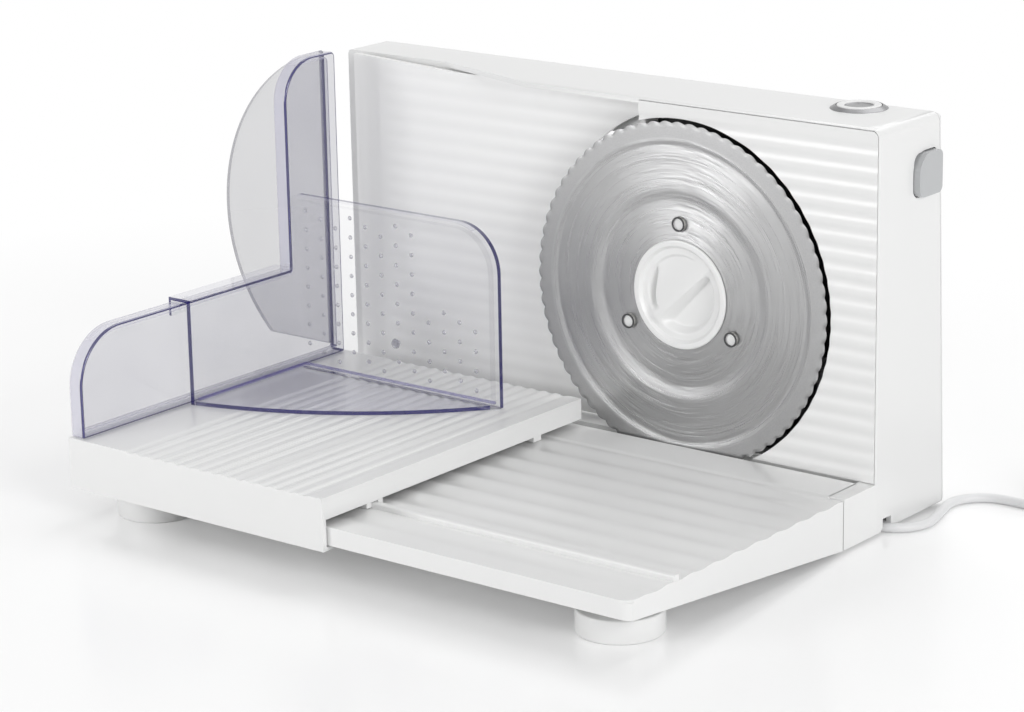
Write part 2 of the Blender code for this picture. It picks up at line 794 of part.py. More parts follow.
def screw(axis, a, b, head_front, length, towards):
    """Return one pan-head screw whose shank runs from its head in the given direction."""
    head_back = head_front + SCREW_HEAD_DEPTH * towards
    tip = head_front + length * towards
    profile = [
        (0, head_front),
        (SCREW_HEAD, head_front),
        (SCREW_HEAD, head_back),
        (SCREW_RADIUS, head_back),
        (SCREW_RADIUS, tip),
        (0, tip),
    ]
    return turned(profile, axis, a, b, SCREW_FACETS)


def build_screws():
    """Rear cover's and gearbox plate's screws, one object for each pattern."""
    cover = []
    for x, z in boss_places():
        head = rear_y(z + BOSS_RADIUS) - GAP
        cover.append(screw("Y", x, z, head, COVER_SCREW_LENGTH, -1))
    pieces("cover_screw", range(1, len(cover) + 1), cover, STEEL)
    plate = []
    for x, z in plate_screw_places():
        head = PLATE_FRONT - GAP - SCREW_HEAD_DEPTH
        plate.append(screw("Y", x, z, head, PLATE_SCREW_LENGTH, 1))
    pieces("plate_screw", range(1, len(plate) + 1), plate, STEEL)


def build_front_panel():
    """Ribbed panel with the round hole that the blade runs in."""
    right = INSIDE_RIGHT - GAP
    low = TABLE_TOP + GAP
    high = INSIDE_TOP - GAP
    face = grooved(low, high, 0, low, RIB_PITCH, RIB_GROOVE, RIB_DEPTH)
    outline = [(y, z) for z, y in face] + [(PANEL, high), (PANEL, low)]
    panel = prism(outline, "X", PANEL_LEFT + GAP, right)
    hole = tube("Y", 0, AXIS, 0, PANEL_HOLE, -OVERRUN, PANEL + OVERRUN)
    return piece("front_panel", cut(panel, hole), WHITE)


# Gearbox and blade


def build_gearbox_plate():
    """Dark plate behind the blade that carries the axle, the idler and the motor's bracket."""
    left = PANEL_LEFT + WALL + GAP
    right = INSIDE_RIGHT - PANEL_LEDGE - GAP
    low = TABLE_TOP + WALL + GAP
    high = INSIDE_TOP - PANEL_LEDGE - GAP
    back = PLATE_FRONT + PLATE
    plate = box(left, right, PLATE_FRONT, back, low, high)
    disc = tube("Y", 0, AXIS, 0, SHROUD_RADIUS - WALL - GAP, PLATE_FRONT, back)
    boss_radius = IDLER_SHAFT + GAP + BUSH_WALL
    boss = tube("Y", IDLER_X, AXIS, 0, boss_radius, PLATE_FRONT + PLATE / 2, back + BUSH_LENGTH)
    join(plate, disc, boss)
    clear = CAN_RADIUS + RUNNING_GAP
    cutters = [
        box(ROTOR_X - clear, ROTOR_X + clear, -OVERRUN, back + OVERRUN, 0, BRACKET_TOP + RUNNING_GAP),
        tube("Y", 0, AXIS, 0, AXLE_RADIUS + GAP, -OVERRUN, back + OVERRUN, SMALL_FACETS),
        tube("Y", IDLER_X, AXIS, 0, IDLER_SHAFT + GAP, -OVERRUN, ROTOR_Y, SMALL_FACETS),
    ]
    for x, z in plate_screw_places() + bracket_screw_places():
        cutters.append(screw_hole(x, z, -OVERRUN, back + OVERRUN))
    return piece("gearbox_plate", combine(plate, cutters, "DIFFERENCE", "MANIFOLD"), DARK)


def build_blade_axle():
    """Fixed axle with a collar behind the plate."""
    collar = AXLE_RADIUS + HUB_WALL
    back = PLATE_FRONT + PLATE + GAP
    end = back + HUB_WALL
    profile = [
        (0, HUB_FRONT),
        (AXLE_RADIUS, HUB_FRONT),
        (AXLE_RADIUS, back),
        (collar, back),
        (collar, end),
        (0, end),
    ]
    return piece("blade_axle", turned(profile, "Y", 0, AXIS, SMALL_FACETS), STEEL)


def build_blade():
    """Dished round blade with a waved edge and three holes for the gear's pegs."""
    edge = BLADE_RIM_FRONT + BLADE / 2
    ring = BLADE_RING + BLADE_RING_STEP
    step = BLADE_SEAT + BLADE_STEP
    blank = (BLADE_RADIUS + GAP) / math.cos(math.pi / FACETS)
    front = [
        (BLADE_BORE, BLADE_SEAT_FRONT),
        (BLADE_SEAT, BLADE_SEAT_FRONT),
        (step, BLADE_BODY_FRONT),
        (BLADE_RING, BLADE_BODY_FRONT),
        (ring, BLADE_RIM_FRONT),
        (blank, edge - BLADE_EDGE / 2),
    ]
    back = [
        (blank, edge + BLADE_EDGE / 2),
        (ring, BLADE_RIM_FRONT + BLADE),
        (BLADE_RING, BLADE_BODY_FRONT + BLADE),
        (step, BLADE_BODY_FRONT + BLADE),
        (BLADE_SEAT, BLADE_BACK),
        (BLADE_BORE, BLADE_BACK),
    ]
    disc = turned(front + back, "Y", 0, AXIS)
    star = []
    for index in range(WAVES * 2):
        radius = BLADE_RADIUS - (WAVE_DEPTH if index % 2 else 0)
        angle = math.pi * (index + 1) / WAVES
        star.append((radius * math.cos(angle), AXIS + radius * math.sin(angle)))
    keep(disc, prism(star, "Y", -OVERRUN * 2, OVERRUN * 2))
    hole = PEG_RADIUS + GAP
    holes = [tube("Y", x, z, 0, hole, -OVERRUN, OVERRUN * 2, SMALL_FACETS) for x, z in pegs()]
    return piece("blade", combine(disc, holes, "DIFFERENCE", "MANIFOLD"), STEEL, (0, 0, AXIS))


def pegs():
    """Return the (x, z) places of the gear's pegs, the first one straight up."""
    angles = [math.pi / 2 + 2 * math.pi * index / PEGS for index in range(PEGS)]
    return [(PEG_CIRCLE * math.cos(angle), AXIS + PEG_CIRCLE * math.sin(angle)) for angle in angles]


def sector(inner, outer, middle, spread, start, end):
    """Return a block bounded by two arcs about the blade's axis."""
    steps = [middle + spread * (index / CORNER_STEPS - 1 / 2) for index in range(CORNER_STEPS + 1)]
    outline = [(outer * math.cos(angle), AXIS + outer * math.sin(angle)) for angle in steps]
    outline += [(inner * math.cos(angle), AXIS + inner * math.sin(angle)) for angle in reversed(steps)]
    return prism(outline, "Y", start, end)


def build_blade_gear():
    """Toothed carrier: front flange with pegs and bayonet notches, gear rim, rear web and hub."""
    rim = BLADE_PITCH_RADIUS - GEAR_MODULE * DEDENDUM_SHARE - 2 * GAP
    hollow = rim - GEAR_RIM
    hub = AXLE_RADIUS + GAP + HUB_WALL
    bore = KNOB_CUP + GAP * 5
    profile = [
        (bore, FLANGE_FRONT),
        (FLANGE_RADIUS, FLANGE_FRONT),
        (FLANGE_RADIUS, FLANGE_BACK),
        (rim, FLANGE_BACK),
        (rim, GEAR_BACK),
        (AXLE_RADIUS + GAP, GEAR_BACK),
        (AXLE_RADIUS + GAP, HUB_FRONT),
        (hub, HUB_FRONT),
        (hub, GEAR_BACK - GEAR_WEB),
        (hollow, GEAR_BACK - GEAR_WEB),
        (hollow, FLANGE_BACK),
        (bore, FLANGE_BACK),
    ]
    gear = turned(profile, "Y", 0, AXIS)
    outline = gear_outline(0, AXIS, BLADE_TEETH, GEAR_MODULE, 0)
    teeth = prism(outline, "Y", FLANGE_BACK - FLANGE / 2, GEAR_BACK - GAP)
    cut(teeth, tube("Y", 0, AXIS, 0, rim - GEAR_RIM / 2, 0, GEAR_BACK + OVERRUN))
    studs = [
        tube("Y", x, z, 0, PEG_RADIUS, BLADE_SEAT_FRONT - GAP, FLANGE_BACK - GAP, SMALL_FACETS)
        for x, z in pegs()
    ]
    join(gear, teeth, *studs)
    cutters = []
    for index in range(KNOB_LUGS):
        angle = GRIP_ANGLE + KNOB_TURN + 2 * math.pi * index / KNOB_LUGS
        spread = KNOB_LUG_SPREAD + 4 * GAP / KNOB_CUP
        outer = KNOB_CUP + KNOB_LUG + GAP
        cutters.append(sector(KNOB_CUP, outer, angle, spread, FLANGE_FRONT - OVERRUN, FLANGE_BACK + GAP))
    return piece("blade_gear", cut(gear, *cutters), NYLON, (0, 0, AXIS))


def build_blade_knob():
    """Flush knob with a dish, a slanting grip bar and two bayonet lugs."""
    dish = KNOB_CUP - WALL / 2
    profile = [
        (0, KNOB_DISH),
        (dish - WALL, KNOB_DISH),
        (dish, KNOB_FRONT),
        (KNOB_RADIUS - KNOB_FLANGE, KNOB_FRONT),
        (KNOB_RADIUS, KNOB_FRONT + KNOB_FLANGE / 2),
        (KNOB_RADIUS, KNOB_FLANGE_BACK),
        (KNOB_CUP, KNOB_FLANGE_BACK),
        (KNOB_CUP, KNOB_BACK),
        (0, KNOB_BACK),
    ]
    knob = turned(profile, "Y", 0, AXIS)
    bar_outline = rectangle(-dish, dish, -GRIP_WIDTH / 2, GRIP_WIDTH / 2)
    bar = prism(bar_outline, "Y", KNOB_FRONT + GAP, KNOB_DISH + GAP)
    bar.data.transform(Matrix.Translation((0, 0, AXIS)) @ Matrix.Rotation(-GRIP_ANGLE, 4, "Y"))
    lugs = []
    lug_end = KNOB_CUP + KNOB_LUG
    for index in range(KNOB_LUGS):
        angle = GRIP_ANGLE + 2 * math.pi * index / KNOB_LUGS
        lugs.append(sector(KNOB_CUP - WALL, lug_end, angle, KNOB_LUG_SPREAD, LUG_FRONT, KNOB_BACK))
    return piece("blade_knob", join(knob, bar, *lugs), WHITE, (0, 0, AXIS))


def build_idler():
    """Idler shaft with the pinion that drives the blade gear and the worm wheel behind it."""
    start = FLANGE_BACK + GAP * 2
    wheel_front = ROTOR_Y - WHEEL_WIDTH / 2
    wheel_back = ROTOR_Y + WHEEL_WIDTH / 2
    bore = IDLER_SHAFT + GAP
    shaft = tube("Y", IDLER_X, AXIS, 0, IDLER_SHAFT, start, wheel_back + WALL, SMALL_FACETS)
    piece("idler_shaft", shaft, STEEL, (IDLER_X, 0, AXIS))
    phase = math.pi / IDLER_TEETH
    pinion = prism(gear_outline(IDLER_X, AXIS, IDLER_TEETH, GEAR_MODULE, phase), "Y", start, GEAR_BACK)
    cut(pinion, tube("Y", IDLER_X, AXIS, 0, bore, 0, ROTOR_Y, SMALL_FACETS))
    piece("idler_pinion", pinion, NYLON, (IDLER_X, 0, AXIS))
    rings = []
    layers = CORNER_STEPS - 1
    for index in range(layers + 1):
        along = WHEEL_WIDTH * (index / layers - 1 / 2)
        twist = -along * WORM_LEAD / (2 * math.pi * WORM_RADIUS * WHEEL_RADIUS)
        outline = gear_outline(IDLER_X, AXIS, WHEEL_TEETH, WORM_MODULE, twist)
        rings.append([AXES["Y"](a, b, ROTOR_Y + along) for a, b in outline])
    hole = tube("Y", IDLER_X, AXIS, 0, bore, wheel_front - WALL, wheel_back + WALL, SMALL_FACETS)
    piece("worm_wheel", cut(lofted(rings), hole), NYLON, (IDLER_X, 0, AXIS))


def build_worm():
    """Three-start right-hand worm, its thread gap facing the wheel's tooth."""
    tip = WORM_RADIUS + WORM_MODULE * ADDENDUM_SHARE
    root = WORM_RADIUS - WORM_MODULE * DEDENDUM_SHARE
    start_angle = 2 * math.pi / WORM_STARTS
    steps = math.ceil(2 * math.pi * WORM_LENGTH / WORM_LEAD / WORM_STEP)
    rings = []
    for index in range(steps + 1):
        along = WORM_LENGTH * (index / steps - 1 / 2)
        turn = 2 * math.pi * along / WORM_LEAD
        ring = []
        for start in range(WORM_STARTS):
            centre = turn + start * start_angle
            root_half = start_angle * TOOTH_ROOT_SHARE / 2
            tip_half = start_angle * TOOTH_TIP_SHARE / 2
            for radius, angle in ((root, -root_half), (tip, -tip_half), (tip, tip_half), (root, root_half)):
                x = ROTOR_X + radius * math.cos(centre + angle)
                y = ROTOR_Y + radius * math.sin(centre + angle)
                ring.append(Vector((x, y, AXIS + along)))
            middle = centre + start_angle / 2
            x = ROTOR_X + root * math.cos(middle)
            y = ROTOR_Y + root * math.sin(middle)
            ring.append(Vector((x, y, AXIS + along)))
        rings.append(ring)
    low = AXIS - WORM_LENGTH
    high = AXIS + WORM_LENGTH
    bore = tube("Z", ROTOR_X, ROTOR_Y, 0, ROTOR_SHAFT + GAP, low, high, SMALL_FACETS)
    return piece("worm", cut(lofted(rings), bore), STEEL, (ROTOR_X, ROTOR_Y, 0))


def bracket_screw_places():
    """Return the (x, z) places of the screws that hold the motor's bracket on the plate."""
    height = BRACKET_TOP + BRACKET_TAB - SCREW_HEAD * 2
    inset = BRACKET_WIDTH / 2 - SCREW_HEAD - GAP * 2
    middle = ROTOR_X + BRACKET_WIDTH / 4
    return [(middle - inset, height), (middle + inset, height)]


def build_motor():
    """Motor can, end bracket, magnets, brush holders and the turning rotor."""
    can_floor = CAN_BOTTOM + CAN_WALL
    inner = CAN_RADIUS - CAN_WALL
    shaft_hole = ROTOR_SHAFT + GAP
    can_profile = [
        (shaft_hole, CAN_BOTTOM),
        (CAN_RADIUS, CAN_BOTTOM),
        (CAN_RADIUS, CAN_TOP),
        (inner, CAN_TOP),
        (inner, can_floor),
        (shaft_hole, can_floor),
    ]
    piece("motor_can", turned(can_profile, "Z", ROTOR_X, ROTOR_Y, FACETS // 2), STEEL)
    disc = tube("Z", ROTOR_X, ROTOR_Y, shaft_hole, CAN_RADIUS, BRACKET_BOTTOM, BRACKET_TOP, FACETS // 2)
    tab_left = ROTOR_X - BRACKET_WIDTH / 4
    tab = box(
        tab_left,
        tab_left + BRACKET_WIDTH,
        PLATE_FRONT + PLATE + GAP,
        PLATE_FRONT + PLATE + GAP + BRACKET,
        BRACKET_BOTTOM,
        BRACKET_TOP + BRACKET_TAB,
    )
    join(disc, tab)
    holes = []
    screws = []
    for x, z in bracket_screw_places():
        front = PLATE_FRONT - GAP - SCREW_HEAD_DEPTH
        holes.append(screw_hole(x, z, 0, ROTOR_Y))
        screws.append(screw("Y", x, z, front, PLATE_SCREW_LENGTH, 1))
    piece("motor_end_bracket", cut(disc, *holes), STEEL)
    pieces("motor_screw", ("left", "right"), screws, STEEL)
    armature_low = can_floor + COMMUTATOR_LENGTH + BUSH_LENGTH
    armature_high = armature_low + ARMATURE_LENGTH
    stator_inner = ARMATURE_RADIUS + RUNNING_GAP
    stator = tube("Z", ROTOR_X, ROTOR_Y, stator_inner, inner - GAP, armature_low, armature_high, FACETS // 2)
    piece("motor_stator", stator, DARK)
    brush_start = COMMUTATOR_RADIUS + GAP
    brushes = []
    for side in (-1, 1):
        middle = ROTOR_X + side * (brush_start + BRUSH_LENGTH / 2)
        brushes.append(box(
            middle - BRUSH_LENGTH / 2,
            middle + BRUSH_LENGTH / 2,
            ROTOR_Y - BRUSH_WIDTH / 2,
            ROTOR_Y + BRUSH_WIDTH / 2,
            can_floor + GAP,
            can_floor + BUSH_LENGTH,
        ))
    pieces("brush_holder", ("left", "right"), brushes, BRASS)
    origin = (ROTOR_X, ROTOR_Y, 0)
    hole = ROTOR_SHAFT + GAP
    shaft_low = CAN_BOTTOM - CAN_WALL
    shaft_high = WORM_TOP + CAN_WALL
    shaft = tube("Z", ROTOR_X, ROTOR_Y, 0, ROTOR_SHAFT, shaft_low, shaft_high, SMALL_FACETS)
    piece("rotor_shaft", shaft, STEEL, origin)
    commutator_low = can_floor + GAP
    commutator_high = commutator_low + COMMUTATOR_LENGTH
    commutator = tube(
        "Z", ROTOR_X, ROTOR_Y, hole, COMMUTATOR_RADIUS, commutator_low, commutator_high, SMALL_FACETS
    )
    piece("commutator", commutator, COPPER, origin)
    armature = tube("Z", ROTOR_X, ROTOR_Y, hole, ARMATURE_RADIUS, armature_low, armature_high, FACETS // 2)
    piece("armature", armature, COPPER, origin)
    fan_low = armature_high + RUNNING_GAP * 2
    fan = tube("Z", ROTOR_X, ROTOR_Y, hole, FAN_RADIUS, fan_low, fan_low + CAN_WALL, FACETS // 2)
    vanes = []
    for index in range(FAN_BLADES):
        vane = box(
            hole + CAN_WALL,
            FAN_RADIUS - CAN_WALL,
            -CAN_WALL / 2,
            CAN_WALL / 2,
            fan_low + CAN_WALL / 2,
            fan_low + FAN_LENGTH - GAP,
        )
        turn = Matrix.Rotation(2 * math.pi * index / FAN_BLADES, 4, "Z")
        vane.data.transform(Matrix.Translation((ROTOR_X, ROTOR_Y, 0)) @ turn)
        vanes.append(vane)
    hub_radius = hole + CAN_WALL * 2
    hub = tube("Z", ROTOR_X, ROTOR_Y, hole, hub_radius, fan_low, fan_low + FAN_LENGTH, SMALL_FACETS)
    piece("motor_fan", join(fan, hub, *vanes), DARK, origin)
    build_worm()


# Thickness fence


def build_fence():
    """Ribbed plate with the throat for the blade, its carrier, guide rods and bushes."""
    face = grooved(FENCE_BOTTOM, FENCE_TOP, FENCE_FRONT, FENCE_BOTTOM, RIB_PITCH, RIB_GROOVE, RIB_DEPTH)
    outline = [(y, z) for z, y in face] + [(FENCE_BACK, FENCE_TOP), (FENCE_BACK, FENCE_BOTTOM)]
    plate = prism(outline, "X", FENCE_LEFT, FENCE_RIGHT)
    far = FENCE_RIGHT + OVERRUN
    cut(
        plate,
        tube("Y", 0, AXIS, 0, FENCE_THROAT, FENCE_FRONT - OVERRUN, FENCE_BACK + OVERRUN),
        box(FENCE_STEP, far, FENCE_FRONT - OVERRUN, FENCE_BACK + OVERRUN, FENCE_LOW_TOP, FENCE_TOP + OVERRUN),
    )
    piece("fence", plate, WHITE)
    half = CARRIER_WIDTH / 2
    carrier = box(
        GUIDE_X - half,
        GUIDE_X + half,
        CARRIER_FRONT,
        CARRIER_BACK,
        ROD_LOW - CARRIER_MARGIN,
        ROD_HIGH + CARRIER_MARGIN,
    )
    bore = ROD_RADIUS + GAP
    nut_end = CARRIER_BACK + NUT_LENGTH
    nut = bore + NUT_WALL
    join(carrier, tube("Y", GUIDE_X, DIAL_HEIGHT, 0, nut, CARRIER_FRONT, nut_end, SMALL_FACETS))
    heights = (ROD_LOW, ROD_HIGH, DIAL_HEIGHT)
    cut(carrier, *[tube("Y", GUIDE_X, height, 0, bore, 0, FOOT_DEPTH, SMALL_FACETS) for height in heights])
    piece("fence_carrier", carrier, DARK)
    rod_end = CARRIER_FRONT + ROD_LENGTH
    rods = [
        tube("Y", GUIDE_X, height, 0, ROD_RADIUS, CARRIER_FRONT, rod_end, SMALL_FACETS)
        for height in (ROD_LOW, ROD_HIGH)
    ]
    pieces("guide_rod", ("lower", "upper"), rods, STEEL)
    seat = RECESS + WALL + GAP
    profile = [
        (bore, RECESS),
        (BUSH_RADIUS, RECESS),
        (BUSH_RADIUS, seat),
        (BUSH_RADIUS + BUSH_FLANGE, seat),
        (BUSH_RADIUS + BUSH_FLANGE, seat + BUSH_FLANGE_THICK),
        (BUSH_RADIUS, seat + BUSH_FLANGE_THICK),
        (BUSH_RADIUS, RECESS + GUIDE_BUSH_LENGTH),
        (bore, RECESS + GUIDE_BUSH_LENGTH),
    ]
    bushes = [turned(profile, "Y", GUIDE_X, height, SMALL_FACETS) for height in (ROD_LOW, ROD_HIGH)]
    pieces("guide_bush", ("lower", "upper"), bushes, NYLON)


def build_dial():
    """Fluted thickness dial on the rear and the threaded spindle that it turns."""
    outline = []
    for index in range(DIAL_FLUTES * 2):
        radius = DIAL_RADIUS - (DIAL_FLUTE if index % 2 else 0)
        angle = math.pi * index / DIAL_FLUTES
        outline.append((GUIDE_X + radius * math.cos(angle), DIAL_HEIGHT + radius * math.sin(angle)))
    dial = prism(outline, "Y", DIAL_FRONT, DIAL_BACK)
    bore = ROD_RADIUS + GAP
    socket_end = DIAL_FRONT + DIAL_DEPTH * 2 / 3
    cut(dial, tube("Y", GUIDE_X, DIAL_HEIGHT, 0, bore, DIAL_FRONT - OVERRUN, socket_end, SMALL_FACETS))
    origin = (GUIDE_X, 0, DIAL_HEIGHT)
    piece("thickness_dial", dial, WHITE, origin)
    spindle_start = CARRIER_FRONT + RUNNING_GAP
    spindle = tube(
        "Y", GUIDE_X, DIAL_HEIGHT, 0, ROD_RADIUS, spindle_start, socket_end - GAP, SMALL_FACETS
    )
    piece("dial_spindle", spindle, STEEL, origin)


# Table and feet


def hinge_spans():
    """Return the (start, end) of each hinge pin along X, right pin first."""
    ear = HINGE_PIN_LENGTH * 2 / 3
    right = HOUSING_RIGHT - EAR_WIDTH + ear
    left = TABLE_LEFT + EAR_WIDTH - ear
    return [(right - HINGE_PIN_LENGTH, right), (left, left + HINGE_PIN_LENGTH)]


def build_table():
    """Ribbed folding table with skirts, underside ribs and a tongue between the housing's ears."""
    first = RIDGE_Y - TABLE_RIB_PITCH
    top = grooved(
        TABLE_FRONT, TONGUE_BACK, TABLE_TOP, first, TABLE_RIB_PITCH, TABLE_GROOVE, -TABLE_GROOVE_DEPTH
    )
    side = top + [
        (TONGUE_BACK, TABLE_REAR_BOTTOM),
        (EAR_FRONT, TABLE_REAR_BOTTOM),
        (TABLE_FRONT, TABLE_TOP - TABLE_FRONT_HEIGHT),
    ]
    table = prism(side, "X", TABLE_LEFT, TABLE_RIGHT)
    tongue_left = TABLE_LEFT + EAR_WIDTH + GAP
    tongue_right = HOUSING_RIGHT - EAR_WIDTH - GAP
    shoulder = EAR_FRONT - GAP
    plan = rounded([
        (TABLE_LEFT, TABLE_FRONT, TABLE_CORNER),
        (TABLE_RIGHT, TABLE_FRONT, TABLE_CORNER),
        (TABLE_RIGHT, shoulder, 0),
        (tongue_right, shoulder, 0),
        (tongue_right, TONGUE_BACK, 0),
        (tongue_left, TONGUE_BACK, 0),
        (tongue_left, shoulder, 0),
        (TABLE_LEFT, shoulder, 0),
    ])
    keep(table, prism(plan, "Z", -OVERRUN, TABLE_TOP + OVERRUN))
    ceiling = TABLE_TOP - TABLE_PLATE
    width = (TABLE_RIGHT - TABLE_LEFT - 2 * WALL + TABLE_RIB) / TABLE_CELLS
    depth = (shoulder - TABLE_FRONT - 2 * WALL + TABLE_RIB) / TABLE_BAYS
    cells = []
    for column in range(TABLE_CELLS):
        left = TABLE_LEFT + WALL + column * width
        for row in range(TABLE_BAYS):
            front = TABLE_FRONT + WALL + row * depth
            right = left + width - TABLE_RIB
            cells.append(box(left, right, front, front + depth - TABLE_RIB, -OVERRUN, ceiling))
    cells.append(box(tongue_left + WALL, tongue_right - WALL, shoulder, TONGUE_BACK - WALL, -OVERRUN, ceiling))
    for start, end in hinge_spans():
        cells.append(tube("X", HINGE_Y, HINGE_Z, 0, HINGE_PIN + GAP, start - GAP, end + GAP, SMALL_FACETS))
    cut(table, *cells)
    ridge = box(
        TABLE_LEFT + WALL,
        TABLE_RIGHT - GAP,
        RIDGE_Y - RIDGE_WIDTH / 2,
        RIDGE_Y + RIDGE_WIDTH / 2,
        TABLE_TOP - TABLE_PLATE / 2,
        TABLE_TOP + RIDGE_HEIGHT,
    )
    piece("table", join(table, ridge), WHITE)
    pins = [
        tube("X", HINGE_Y, HINGE_Z, 0, HINGE_PIN, start, end, SMALL_FACETS) for start, end in hinge_spans()
    ]
    pieces("hinge_pin", ("right", "left"), pins, STEEL)


def build_feet():
    """Round front feet under the table, and rubber pads under the housing."""
    high = TABLE_TOP - TABLE_PLATE - GAP
    profile = [
        (0, 0),
        (FRONT_FOOT_RADIUS, 0),
        (FRONT_FOOT_RADIUS, FRONT_FOOT_TOP),
        (FOOT_STEM, FRONT_FOOT_TOP),
        (FOOT_STEM, high),
        (0, high),
    ]
    for name, x in (("front_foot_left", FRONT_FOOT_LEFT), ("front_foot_right", FRONT_FOOT_RIGHT)):
        piece(name, turned(profile, "Z", x, FRONT_FOOT_Y, FACETS // 2), WHITE)
    rear = []
    for x in (HOUSING_LEFT + REAR_FOOT_INSET, HOUSING_RIGHT - REAR_FOOT_INSET):
        rear.append(tube("Z", x, FOOT_DEPTH - REAR_FOOT_INSET, 0, REAR_FOOT_RADIUS, 0, FLOOR_GAP - GAP,
                         SMALL_FACETS))
    pieces("rear_foot", ("left", "right"), rear, RUBBER)


# Carriage and what stands on it


def build_carriage():
    """Ribbed carriage with a front lip hooked under the table and two runners."""
    ribs_start = CARRIAGE_LEFT + CARRIAGE_MARGIN
    first = ribs_start + CARRIAGE_RIB_PITCH / 2
    top = grooved(
        ribs_start, CARRIAGE_RIGHT - WALL, CARRIAGE_TOP, first, CARRIAGE_RIB_PITCH, RIB_GROOVE, -RIB_DEPTH
    )
    section = [(CARRIAGE_LEFT, CARRIAGE_BOTTOM), (CARRIAGE_LEFT, CARRIAGE_TOP)] + top
    section += [(CARRIAGE_RIGHT, CARRIAGE_TOP), (CARRIAGE_RIGHT, CARRIAGE_BOTTOM)]
    body = prism(section, "Y", CARRIAGE_FRONT, CARRIAGE_BACK)
    ceiling = CARRIAGE_TOP - CARRIAGE_PLATE
    inside_left = CARRIAGE_LEFT + WALL
    inside_right = CARRIAGE_RIGHT - WALL
    cut(body, box(inside_left, inside_right, CARRIAGE_FRONT + WALL, CARRIAGE_BACK - WALL, 0, ceiling))
    inset = WALL / 2
    parts = [
        box(
            CARRIAGE_LEFT,
            CARRIAGE_RIGHT,
            CARRIAGE_FRONT,
            CARRIAGE_FRONT + WALL,
            CARRIAGE_LIP,
            ceiling + inset,
        ),
        box(
            CARRIAGE_LEFT,
            CARRIAGE_RIGHT,
            CARRIAGE_FRONT,
            CARRIAGE_FRONT + CARRIAGE_HOOK_DEPTH,
            CARRIAGE_LIP,
            CARRIAGE_LIP + CARRIAGE_HOOK,
        ),
    ]
    front_half = RIDGE_WIDTH / 2 + RUNNING_GAP + RUNNER
    for middle, half in ((RIDGE_Y, front_half), (REAR_RUNNER_Y, REAR_RUNNER_WIDTH / 2)):
        parts.append(box(
            inside_left - inset,
            inside_right + inset,
            middle - half,
            middle + half,
            TABLE_TOP + GAP,
            ceiling + inset,
        ))
    join(body, *parts)
    slot_half = RIDGE_WIDTH / 2 + GAP
    slot = box(
        CARRIAGE_LEFT - OVERRUN,
        CARRIAGE_RIGHT + OVERRUN,
        RIDGE_Y - slot_half,
        RIDGE_Y + slot_half,
        TABLE_TOP,
        TABLE_TOP + RIDGE_HEIGHT + GAP,
    )
    return piece("carriage", cut(body, slot), WHITE)


def backrest_outline(inset):
    """Return the backrest's side outline, drawn in by an inset."""
    front = BACKREST_FRONT + inset
    back = BACKREST_BACK - inset
    low = BACKREST_BOTTOM + inset
    step = BACKREST_STEP + inset
    shelf = BACKREST_LOW - inset
    top = BACKREST_TALL - inset
    return rounded([
        (front, low, 0),
        (back, low, 0),
        (back, top, 0),
        (step, top, BACKREST_TALL_CORNER - inset),
        (step, shelf, 0),
        (front, shelf, BACKREST_CORNER - inset),
    ])


def build_backrest():
    """Clear side wall with a rim all round, low along the carriage and tall at the fence."""
    wall = prism(backrest_outline(0), "X", BACKREST_LEFT, BACKREST_RIGHT)
    hollow = prism(backrest_outline(CLEAR_WALL), "X", BACKREST_LEFT - OVERRUN, BACKREST_RIGHT - CLEAR_WALL)
    return piece("backrest", cut(wall, hollow), CLEAR)


def build_thumb_guard():
    """Clear round-edged plate that stands out to the left of the tall backrest."""
    right = BACKREST_LEFT - GAP
    back = BACKREST_BACK - GAP
    front = back - GUARD
    disc = tube("Y", GUARD_X, GUARD_HEIGHT, 0, GUARD_RADIUS, front, back)
    left = GUARD_X - GUARD_RADIUS - OVERRUN
    reach = GUARD_BOTTOM - GUARD_HEIGHT
    corner_x = GUARD_X - math.sqrt(GUARD_RADIUS ** 2 - reach ** 2)
    keep_outline = rounded([
        (left, GUARD_BOTTOM + GUARD_CORNER * 2, 0),
        (corner_x, GUARD_BOTTOM, GUARD_CORNER),
        (right, GUARD_BOTTOM, 0),
        (right, GUARD_HEIGHT + GUARD_RADIUS + OVERRUN, 0),
        (left, GUARD_HEIGHT + GUARD_RADIUS + OVERRUN, 0),
    ])
    keep(disc, prism(keep_outline, "Y", front - OVERRUN, back + OVERRUN))
    return piece("thumb_guard", disc, CLEAR)


def holder_floor():
    """Return the food holder's floor outline with its bulging front edge."""
    start = Vector((HOLDER_SIDE, HOLDER_FRONT))
    end = Vector((HOLDER_RIGHT, HOLDER_BACK - CLEAR_WALL))
    chord = end - start
    outward = Vector((chord.y, -chord.x)).normalized()
    steps = CORNER_STEPS * 2
    points = []
    for index in range(steps + 1):
        share = index / steps
        points.append(tuple(start + chord * share + outward * HOLDER_BULGE * 4 * share * (1 - share)))
    points += [(HOLDER_RIGHT, HOLDER_BACK), (HOLDER_SIDE, HOLDER_BACK)]
    return points


